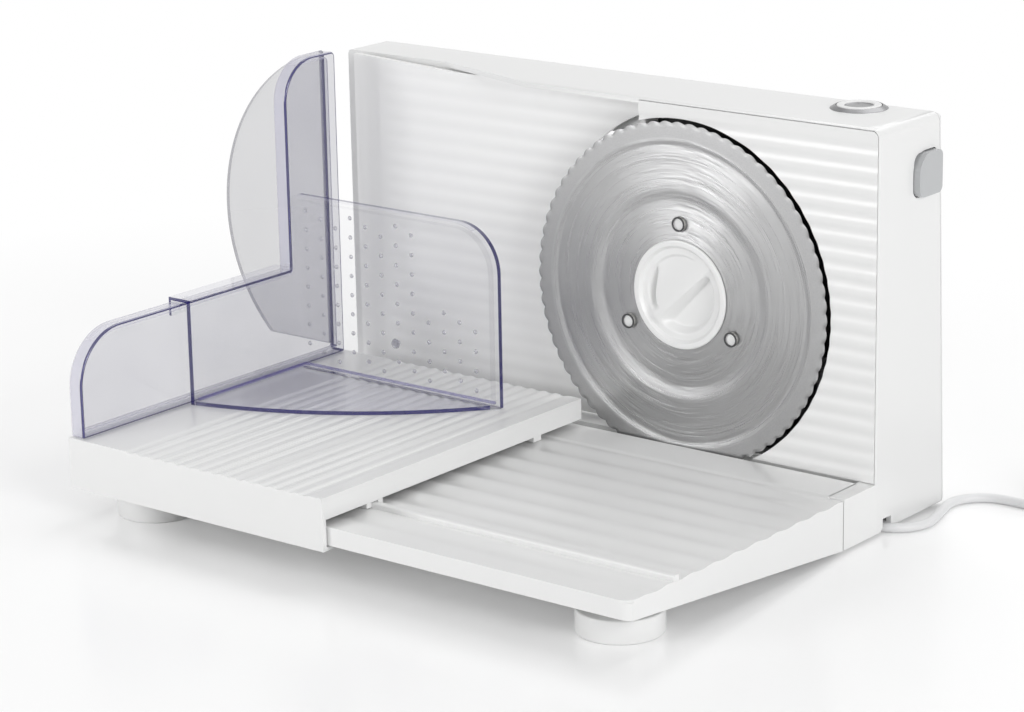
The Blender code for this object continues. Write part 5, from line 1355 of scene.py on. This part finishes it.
    def knob_solid(self) -> Item:
        """Return the flush knob."""
        turns = [2 * math.pi * turn / self.around for turn in range(self.around)]
        rows = []
        for index in range(1, self.rows + 1):
            radius = (self.knob - self.knob_margin) * index / self.rows
            rows.append([(radius, self.knob_depth(radius, angle)) for angle in turns])
        wide, thin = self.knob_round
        for radius, level in (
            (self.knob - wide, self.knob_front),
            (self.knob - thin, self.knob_front + thin),
            (self.knob, self.knob_front + wide),
            (self.knob, self.knob_seat),
            (self.collar, self.knob_seat),
            (self.collar, self.collar_back),
            (self.cup, self.collar_back),
            (self.cup, self.knob_back),
        ):
            rows.append([(radius, level)] * self.around)
        bm = bmesh.new()
        made = []
        for row in rows:
            ring = []
            for angle, (radius, depth) in zip(turns, row):
                ring.append(bm.verts.new((radius * math.cos(angle), depth, radius * math.sin(angle))))
            made.append(ring)
        centre = bm.verts.new((0, self.knob_depth(0.0, 0.0), 0))
        rear = bm.verts.new((0, self.knob_back, 0))
        for turn in range(self.around):
            after = (turn + 1) % self.around
            bm.faces.new((centre, made[0][turn], made[0][after]))
            bm.faces.new((rear, made[-1][after], made[-1][turn]))
            for inner, outer in zip(made, made[1:]):
                bm.faces.new((inner[turn], outer[turn], outer[after], inner[after]))
        return place(solid(bm, "release_knob"), TO_AXIS)

    def on_pegs(self, shop: Workshop, name: str, item: Item, slot: Slot) -> Item:
        """Return a copy of a lathed piece on each peg, with its depth mirrored."""
        quarter = Matrix.Rotation(math.pi / 2, 4, "X")
        copies = shop.copies(name, place(item, quarter), [(x, z, 0) for x, z in self.pegs()], slot)
        return place(copies, TO_AXIS @ quarter)

    def build(self, shop: Workshop) -> None:
        """Make the blade's pieces."""
        shop.hand_over(self.disc(shop), Body.BLADE, Slot.BLADE, "blade")
        shop.hand_over(self.knob_solid(), Body.KNOB, Slot.WHITE, "blade_knob")
        front, level = self.cap_front, self.seat_front
        profile = filleted([
            (0, front, 0), (self.peg, front, self.cap_round), (self.peg, level, 0), (0, level, 0),
        ])
        caps = self.on_pegs(shop, "peg_caps", lathe("cap", profile, 40), Slot.WHITE)
        shop.hand_over(caps, Body.BLADE, Slot.NYLON, materials=[shop.finishes.by_slot[Slot.WHITE]])
        # Dark rings round the pegs: painted shade, a dark piece standing for the shadow gap in each peg hole.
        inner, outer = self.peg, self.peg + self.peg_gap - self.shade_ring_gap
        low, high = level + self.shade_ring_sunk, level + self.shade_ring_sunk + self.seal
        seal = lathe("seal", [(inner, low), (outer, low), (outer, high), (inner, high)], 40)
        shop.hand_over(self.on_pegs(shop, "peg_seals", seal, Slot.DARK), Body.BLADE, Slot.DARK)


@dataclass
class Fence(Assembly):
    """Fluted fence plate that the thickness dial moves."""

    left: float = -0.217
    right: float = -0.0247
    low: float = 0.0272
    high: float = 0.1949
    low_top: float = 0.1922
    slope: float = -0.2105
    step: float = -0.1525
    face: float = 0.0146
    thickness: float = 0.0025
    throat: float = 0.0887
    pitch: float = 0.0081
    valley: float = 0.0330
    depth: float = 0.00024
    margin: float = 0.0185
    rounding: float = 0.0004

    def build(self, shop: Workshop) -> None:
        """Make the fence."""
        plate = shop.ribbed(
            "fence_plate", (self.left, self.face, self.low), (self.right - self.left, self.high - self.low),
            self.thickness, self.pitch, self.valley, Depth=self.depth, Columns=64, Margin=self.margin,
        )
        front, back = self.face - CUT, self.face + self.thickness + CUT
        throat = place(cylinder("throat", self.throat, front, back, 192), TO_AXIS)
        end = self.right + CUT
        step = prism("step", [
            (self.slope, self.high),
            (self.step, self.low_top),
            (end, self.low_top),
            (end, self.high + CUT),
            (self.slope, self.high + CUT),
        ], "Y", front, back)
        combined(plate, [throat, step], "DIFFERENCE")
        softened(plate, self.rounding, 2)
        # The fence takes the paler white, painted light against the shade of its recess.
        shop.hand_over(plate, Body.FENCE, Slot.WHITE, "fence", materials=[shop.finishes.fence])


@dataclass
class Table(Assembly):
    """Folding table with its wide flutes and guide ridge."""

    left: float = -0.219
    right: float = 0.1128
    front: float = -0.1937
    back: float = -0.003
    shoulder: float = -0.0269
    ear: float = 0.0095
    top: float = 0.0262
    skin: float = 0.0012
    corner: float = 0.006
    pitch: float = 0.0166
    valley: float = -0.1734
    depth: float = 0.0008
    ridge: float = -0.159
    ridge_width: float = 0.004
    ridge_height: float = 0.0022
    ridge_round: float = 0.0009
    ridge_left: float = 0.0025
    ridge_right: float = 0.0003
    seam: float = 0.0009
    trim: float = 0.0009
    rounding: float = 0.001

    def plan(self) -> list[Point]:
        """Return the table's outline from above, with its ears at the back."""
        end, shoulder = self.right - self.trim, self.shoulder - self.seam
        left_ear, right_ear = self.left + self.ear, self.right - self.ear
        return rounded([
            (self.left, self.front, self.corner),
            (end, self.front, self.corner),
            (end, shoulder, 0),
            (right_ear, shoulder, 0),
            (right_ear, self.back, 0),
            (left_ear, self.back, 0),
            (left_ear, self.shoulder, 0),
            (self.left, self.shoulder, 0),
        ])

    def guide(self) -> Item:
        """Return the guide ridge that the carriage slides along."""
        left, right = self.ridge - self.ridge_width / 2, self.ridge + self.ridge_width / 2
        low, high = self.top - self.skin, self.top + self.ridge_height
        section = rounded([
            (left, low, 0), (right, low, 0), (right, high, self.ridge_round), (left, high, self.ridge_round),
        ], 4)
        end = self.right - self.trim - self.ridge_right
        return prism("ridge", section, "X", self.left + self.ridge_left, end)

    def build(self, shop: Workshop) -> None:
        """Make the table."""
        width = self.back - self.front
        sheet = shop.fluted(
            "sheet", Matrix.Translation((self.left, self.front, self.top)), self.skin,
            Length=self.right - self.left, Width=width, Pitch=self.pitch, Depth=self.depth,
            First=self.valley - self.front, Start=self.pitch * 0.7, End=width - self.pitch * 1.4,
            Rows=int(width / self.pitch * 16), Columns=2, Sharpness=0.8,
        )
        trim = prism("trim", self.plan(), "Z", self.top - self.skin * 2, self.top + CUT)
        combined(sheet, [trim], "INTERSECT")
        ridge = self.guide()
        table = cad_copy("table", "folding_table")
        below = block("below", (-1, -1, -1), (1, 1, self.top - self.skin + HAIR))
        combined(table, [below], "INTERSECT")
        seam = block("cut", (self.right - self.ear, self.shoulder - self.seam, -1), (1, 1, 1))
        combined(table, [seam, block("cut", (self.right - self.trim, -1, -1), (1, 1, 1))], "DIFFERENCE")
        combined(table, [sheet, ridge], "UNION")
        shop.hand_over(softened(table, self.rounding), Body.HOUSING, Slot.WHITE, "table")


@dataclass
class Carriage(Assembly):
    """Sliding carriage with flutes across its top and a plain front lip."""

    left: float = -0.2213
    right: float = -0.0583
    front: float = LIP
    back: float = -0.0031
    top: float = 0.0402
    skin: float = 0.0012
    pitch: float = 0.0079
    valley: float = -0.0695
    depth: float = 0.0007
    margin: float = -0.184
    rounding: float = 0.0006

    def build(self, shop: Workshop) -> None:
        """Make the carriage."""
        width = self.right - self.left
        matrix = Matrix((
            (0, -1, 0, self.right),
            (1, 0, 0, self.front),
            (0, 0, 1, self.top),
            (0, 0, 0, 1),
        ))
        sheet = shop.fluted(
            "sheet", matrix, self.skin,
            Length=self.back - self.front, Width=width, Pitch=self.pitch, Depth=self.depth,
            First=self.right - self.valley, Start=self.pitch * 0.9, End=self.right - self.margin,
            Rows=int(width / self.pitch * 12), Columns=2, Sharpness=1.2,
        )
        tray = cad_copy("carriage", "carriage_tray")
        below = block("below", (-1, -1, -1), (1, 1, self.top - self.skin + HAIR))
        combined(tray, [below], "INTERSECT")
        combined(tray, [sheet], "UNION")
        shop.hand_over(softened(tray, self.rounding), Body.CARRIAGE, Slot.WHITE, "carriage")


@dataclass
class FoodGuard(Assembly):
    """Clear backrest, thumb guard and food holder."""

    wall: float = 0.0025
    right: float = -0.2119
    width: float = 0.0085
    front: float = -0.1957
    back: float = -0.0058
    step: float = -0.0446
    bottom: float = 0.0405
    low: float = 0.0923
    tall: float = 0.1999
    corner: float = 0.028
    tall_corner: float = 0.022
    guard_x: float = -0.1983
    guard_z: float = 0.1103
    guard_radius: float = 0.0919
    guard: float = 0.0022
    guard_bottom: float = 0.044
    guard_slope: float = 0.012
    guard_corner: float = 0.006
    holder_right: float = -0.0796
    holder_side: float = -0.2101
    holder_front: float = -0.1235
    holder_back: float = -0.0383
    holder_top: float = 0.1321
    holder_floor: float = 0.002
    holder_corner: float = 0.024
    bulge: float = 0.0143
    rim: float = 0.0065
    bead: float = 0.0012
    saddle: float = 0.0016
    saddle_gap: float = 0.0006
    overhang: float = 0.0018
    clip_drop: float = 0.008
    clip_length: float = 0.012
    rest_round: float = 0.0012
    guard_round: float = 0.0004
    holder_round: float = 0.0008
    nub_columns: int = 12
    nub_rows: int = 8
    nubs: Point = (-0.2043, 0.1241)
    nub_blank: Point = (0.0755, -0.0398)
    gate: Point = (-0.1462, 0.0631)

    @property
    def floor_top(self) -> float:
        """The height of the holder's floor."""
        return self.bottom + self.holder_floor

    @property
    def face(self) -> float:
        """The depth of the front of the holder's plate."""
        return self.holder_back - self.wall

    @property
    def side_right(self) -> float:
        """The inner face of the holder's side wall."""
        return self.holder_side + self.wall

    def side(self, inset: float) -> list[Point]:
        """Return the backrest's side outline, drawn in by an inset."""
        front, back = self.front + inset, self.back - inset
        low, shelf = self.bottom + inset, self.low - inset
        step, top = self.step + inset, self.tall - inset
        return rounded([
            (front, low, 0),
            (back, low, 0),
            (back, top, 0.003),
            (step, top, self.tall_corner - inset),
            (step, shelf, 0.001),
            (front, shelf, self.corner - inset),
        ], 16)

    def backrest(self, shop: Workshop) -> None:
        """Make the clear side wall with its rim."""
        left = self.right - self.width
        wall = prism("side_wall", self.side(0), "X", left, self.right)
        hollow = prism("hollow", self.side(self.wall), "X", left - CUT, self.right - self.wall)
        combined(wall, [hollow], "DIFFERENCE")
        materials = [shop.finishes.smoky, shop.finishes.edge, shop.finishes.band]
        for material in materials:
            wall.data.materials.append(material)
        settled(softened(wall, self.rest_round, 3, 1))

        def finish(face: Face) -> int:
            """Return the material of a face: clear wall, deep edge or pale rim."""
            near = face.center.x > self.right - self.rest_round
            rear = face.center.y > self.back - self.wall - 0.0006
            if face.material_index == 1:
                return 1 if near or rear else 2
            rim = face.center.x < self.right - self.wall + HAIR and abs(face.normal.x) < 0.5
            return 2 if rim and not rear else 0

        tint(wall, finish)
        shop.hand_over(wall, Body.CARRIAGE, Slot.CLEAR, "backrest", materials=materials)

    def thumb_guard(self, shop: Workshop) -> None:
        """Make the milky round guard that stands out to the left."""
        right = self.right - self.width - GAP
        back = self.back - GAP
        front = back - self.guard
        disc = cylinder("guard_disc", self.guard_radius, front, back, 256)
        place(disc, Matrix.Translation((self.guard_x, 0, self.guard_z)))
        left = self.guard_x - self.guard_radius - CUT
        reach = self.guard_bottom - self.guard_z
        corner = self.guard_x - math.sqrt(self.guard_radius ** 2 - reach ** 2)
        top = self.guard_z + self.guard_radius + CUT
        keep = prism("keep", rounded([
            (left, self.guard_bottom + self.guard_slope, 0),
            (corner, self.guard_bottom, self.guard_corner),
            (right, self.guard_bottom, 0),
            (right, top, 0),
            (left, top, 0),
        ]), "Y", front - CUT, back + CUT)
        combined(disc, [keep], "INTERSECT")
        disc.name = "thumb_shield"
        tint(disc, lambda face: abs(face.normal.y) < 0.5)
        softened(disc, self.guard_round, 2, 1)
        materials = [shop.finishes.milky, shop.finishes.milky_edge]
        shop.hand_over(disc, Body.CARRIAGE, Slot.CLEAR, "thumb_guard", materials=materials)

    def floor(self) -> list[Point]:
        """Return the holder's floor outline with its bulging front edge."""
        start = Vector((self.holder_side, self.holder_front))
        end = Vector((self.holder_right, self.holder_back - self.wall))
        chord = end - start
        outward = Vector((chord.y, -chord.x)).normalized()
        points = []
        for index in range(41):
            share = index / 40
            points.append(tuple(start + chord * share + outward * self.bulge * 4 * share * (1 - share)))
        return points + [(self.holder_right, self.holder_back), (self.holder_side, self.holder_back)]

    def upright(self) -> Item:
        """Return the holder's upright plate with the rim round its front."""
        side, right, top = self.holder_side, self.holder_right, self.holder_top
        outline = rounded([
            (side, self.bottom, 0),
            (right, self.bottom, 0),
            (right, top, self.holder_corner),
            (side, top, 0.002),
        ], 16)
        hole = rounded([
            (side + self.wall, self.floor_top, 0),
            (right - self.wall, self.floor_top, 0),
            (right - self.wall, top - self.wall, self.holder_corner - self.wall),
            (side + self.wall, top - self.wall, 0),
        ], 16)
        face, front = self.face, self.holder_back - self.rim
        plate = prism("clear_holder", outline, "Y", face, self.holder_back)
        rim = prism("rim", outline, "Y", front, face)
        combined(rim, [prism("inside", hole, "Y", front - CUT, face + CUT)], "DIFFERENCE")
        return combined(plate, [rim], "UNION")

    def holder(self, shop: Workshop) -> None:
        """Make the clear food holder, which hangs on the backrest by its saddle and clip."""
        left = self.right - self.width
        front, outer = self.holder_front, left - self.overhang
        low = self.low + GAP
        top = low + self.saddle
        body = combined(self.upright(), [
            prism("floor_part", self.floor(), "Z", self.bottom, self.floor_top),
            block("side_part", (self.holder_side, front, self.bottom),
                  (self.side_right, self.holder_back - HAIR, top)),
            block("saddle_part", (outer, front, low), (self.side_right, self.step - self.saddle_gap, top)),
            block("clip_part", (outer, front, low - self.clip_drop),
                  (left - GAP, front + self.clip_length, top)),
        ], "UNION")

        def finish(side: Face) -> int:
            """Return the material of a face: clear wall, deep edge, pale top or tinted floor."""
            across, level = abs(side.normal.y) < 0.5, abs(side.normal.z)
            front_edge = side.center.y < self.holder_back - self.rim and level < 0.5
            floor_edge = side.center.z < self.floor_top and front_edge and abs(side.normal.x) < 0.98
            side_edge = side.normal.y < -0.9 and side.center.y < front + 0.001
            plate_edge = side.center.y > self.face + HAIR and across and side.normal.x > -0.5
            if floor_edge or side_edge or plate_edge:
                return 1
            if side.normal.z > 0.9 and side.center.z > self.low:
                return 2
            return 3 if level > 0.9 and side.center.z < self.floor_top + HAIR else 0

        tint(body, finish)
        softened(body, self.holder_round, 3, 1)
        finishes = shop.finishes
        materials = [finishes.by_slot[Slot.CLEAR], finishes.edge, finishes.band, finishes.tinted]
        shop.hand_over(body, Body.HOLDER, Slot.CLEAR, "food_holder", materials=materials)

    def holder_seams(self, shop: Workshop) -> None:
        """Make the beads along the seams of the holder's floor."""
        low, high = self.floor_top, self.floor_top + self.bead
        along = [(self.face, low), (self.face - self.bead, low), (self.face, high)]
        across = [(self.side_right, low), (self.side_right + self.bead, low), (self.side_right, high)]
        beads = prism("holder_seams", along, "X", self.side_right, self.holder_right - self.wall)
        combined(beads, [prism("across", across, "Y", self.holder_front + self.wall, self.face)], "UNION")
        shop.hand_over(beads, Body.HOLDER, Slot.CLEAR, materials=[shop.finishes.seam])

    def holder_nubs(self, shop: Workshop) -> None:
        """Make the nubs on the holder's plate, and the round gate mark that they leave room for."""
        nubs = linked("holder_nubs", bpy.data.meshes.new("holder_nubs"))
        x, z = self.nub_blank
        shop.recipes.nubs.run(
            nubs, shop.finishes.nub, Columns=self.nub_columns, Rows=self.nub_rows, Blank_X=x, Blank_Z=z
        )
        x, z = self.nubs
        place(nubs, Matrix.Translation((x, self.face, z)))
        shop.hand_over(nubs, Body.HOLDER, Slot.CLEAR, materials=[shop.finishes.nub])
        mark = lathe("gate_mark", filleted([
            (0, -0.0005, 0),
            (0.0014, -0.0005, 0.0002),
            (0.0022, -0.0009, 0.0003),
            (0.0026, 0.0, 0),
            (0, 0.0, 0),
        ], 3), 32)
        x, z = self.gate
        place(mark, Matrix.Translation((x, self.face, z)))
        shop.hand_over(mark, Body.HOLDER, Slot.CLEAR, materials=[shop.finishes.milky_edge])

    def build(self, shop: Workshop) -> None:
        """Make the clear pieces."""
        self.backrest(shop)
        self.thumb_guard(shop)
        self.holder(shop)
        self.holder_seams(shop)
        self.holder_nubs(shop)


@dataclass
class StartSwitch(Assembly):
    """Grey start switch on the housing's right end, with its soft pad."""

    front: float = 0.0295
    back: float = 0.0495
    low: float = 0.15805
    high: float = 0.17855
    end: float = END
    sunk: float = 0.002
    proud: float = 0.0034
    front_top: float = 0.0095
    front_low: float = 0.0042
    rear_corner: float = 0.0032
    rounding: float = 0.0012

    def outline(self, grown: float) -> list[Point]:
        """Return the pad's outline across Y and Z, grown by a gap."""
        front, back = self.front - grown, self.back + grown
        low, high = self.low - grown, self.high + grown
        return rounded([
            (front, low, self.front_low + grown),
            (back, low, self.rear_corner + grown),
            (back, high, self.rear_corner + grown),
            (front, high, self.front_top + grown),
        ])

    def build(self, shop: Workshop) -> None:
        """Make the switch."""
        body = cad_copy("start_button", "start_pad")
        outside = block("outside", (self.end - self.sunk, -1, -1), (1, 1, 1))
        combined(body, [outside], "DIFFERENCE")
        pad = prism("pad", self.outline(0.0), "X", self.end - self.sunk - 0.0001, self.end + self.proud)
        combined(body, [pad], "UNION")
        shop.hand_over(softened(body, self.rounding, 5), Body.START, Slot.GREY, "start_button")


@dataclass
class Controls(Assembly):
    """Lock button with its ring, and the thickness dial at the back."""

    lock_x: float = 0.0769
    lock_y: float = 0.0372
    top: float = 0.1954
    lock_radius: float = 0.0107
    lock_top: float = 0.1972
    lock_low: float = 0.1854
    dish: float = 0.0070
    dish_depth: float = 0.0009
    stem: float = 0.003
    stem_low: float = 0.1731
    lock_travel: float = 0.003
    ring: float = 0.0028
    ring_height: float = 0.0015
    ring_sunk: float = 0.0009
    dial_x: float = -0.197
    dial_z: float = 0.105
    dial_radius: float = 0.022
    dial_round: float = 0.0007
    flutes: int = 24
    flute: float = 0.0011
    hollow: float = 0.0155
    hollow_rim: float = 0.0163
    hollow_depth: float = 0.0012
    marks: int = 16
    mark_circle: float = 0.0135
    mark_arc: float = math.radians(300)
    mark_size: tuple[float, float, float] = (0.0014, 0.0003, 0.0004)
    grip: Point = (0.0022, 0.0105)
    grip_round: float = 0.0006

    def lock_ring(self, shop: Workshop) -> None:
        """Make the lock button's plated ring."""
        inner = self.lock_radius + GAP
        outer = inner + self.ring
        low, high = self.top - self.ring_sunk, self.top + self.ring_height
        ring = lathe("lock_collar", filleted([
            (inner, low, 0),
            (outer, low, 0),
            (outer, self.top + 0.0001, 0),
            (inner + 0.0005, high, 0.0004),
            (inner, high, 0.0001),
        ]), 96, "Z")
        place(ring, Matrix.Translation((self.lock_x, self.lock_y, 0)))
        shop.hand_over(ring, Body.HOUSING, Slot.CHROME, "lock_ring")

    def lock(self, shop: Workshop) -> None:
        """Make the lock button with its plated dish."""
        radius, top = self.lock_radius, self.lock_top
        floor = top - self.dish_depth
        cap = lathe("lock_cap", filleted([
            (0, floor, 0),
            (self.dish - 0.0004, floor, 0.0002),
            (self.dish, floor + 0.0003, 0.0002),
            (self.dish + 0.0005, top, 0.0008),
            (radius, top, 0.0006),
            (radius, self.lock_low, 0.0004),
            (self.stem, self.lock_low, 0.0003),
            (self.stem, self.stem_low, 0),
            (0, self.stem_low, 0),
        ]), 96, "Z")

        def plated(face: Face) -> bool:
            """Tell whether a face belongs to the dish's floor."""
            x, y, z = face.center
            return math.hypot(x, y) < self.dish and abs(z - floor) < 0.0003

        tint(cap, plated)
        place(cap, Matrix.Translation((self.lock_x, self.lock_y, 0)))
        materials = [shop.finishes.by_slot[slot] for slot in (Slot.WHITE, Slot.CHROME)]
        shop.hand_over(cap, Body.LOCK, Slot.WHITE, "lock_button", materials=materials)

    def lock_spring(self, shop: Workshop) -> None:
        """Make the lock button's spring."""
        spring = shop.hand_over(cad_copy("lock_spring", "lock_coil"), Body.HOUSING, Slot.STEEL, "lock_spring")
        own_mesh(spring)

    def dial(self, shop: Workshop) -> None:
        """Make the fluted dial with its hollow face and its grip."""
        low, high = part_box("thickness_dial")
        front, back = low.y - ORIGIN.y, high.y - ORIGIN.y
        outline = []
        for index in range(self.flutes * 12):
            angle = 2 * math.pi * index / (self.flutes * 12)
            radius = self.dial_radius - self.flute * (0.5 - 0.5 * math.cos(angle * self.flutes))
            outline.append((self.dial_x + radius * math.cos(angle), self.dial_z + radius * math.sin(angle)))
        dial = prism("dial_wheel", outline, "Y", front, back)
        floor, out = back - self.hollow_depth, back + CUT
        hollow = lathe("hollow", [(0, floor), (self.hollow, floor), (self.hollow_rim, out), (0, out)], 96)
        to_dial = Matrix.Translation((self.dial_x, 0, self.dial_z))
        combined(dial, [place(hollow, to_dial)], "DIFFERENCE")
        shop.hand_over(softened(dial, self.dial_round), Body.DIAL, Slot.WHITE, "thickness_dial")
        self.dial_scale(shop, back)
        half, reach = self.grip
        grip = block("dial_grip", (-half, floor - 0.0002, -reach), (half, back - 0.0001, reach))
        shop.hand_over(softened(place(grip, to_dial), self.grip_round), Body.DIAL, Slot.WHITE)

    def dial_scale(self, shop: Workshop, back: float) -> None:
        """Make the marks round the dial's face."""
        half, thin, high = self.mark_size
        bar = block("bar", (-half, -thin, 0), (half, thin, high))
        points = []
        for index in range(self.marks):
            angle = self.mark_arc * (index / (self.marks - 1) - 0.5) + math.pi / 2
            points.append((self.mark_circle * math.cos(angle), self.mark_circle * math.sin(angle), 0))
        scale = shop.copies("dial_marks", bar, points, Slot.GREY, 1.0)
        where = Matrix.Translation((self.dial_x, back - self.hollow_depth - 0.0001, self.dial_z))
        place(scale, where @ Matrix.Rotation(-math.pi / 2, 4, "X"))
        shop.hand_over(scale, Body.DIAL, Slot.GREY)

    def build(self, shop: Workshop) -> None:
        """Make the controls."""
        self.lock_ring(shop)
        self.lock(shop)
        self.lock_spring(shop)
        self.dial(shop)


def write_sizes() -> None:
    """Update the view layer."""
    bpy.context.view_layer.update()


def main() -> None:
    """Build the studio, the cord and the slicer's sub-assemblies."""
    logging.basicConfig(level=logging.INFO, format="%(name)s: %(message)s")
    Studio().build()
    finishes = Finishes()
    finishes.dress_frame()
    shop = Workshop(finishes, Recipes())
    parts: tuple[type[Assembly], ...] = (
        MainsCord, Housing, Blade, Fence, Table, Carriage, FoodGuard, StartSwitch, Controls,
    )
    for part in parts:
        part().build(shop)
        LOG.info("%s finished", part.__name__)
    write_sizes()


if __name__ == "__main__":
    main()
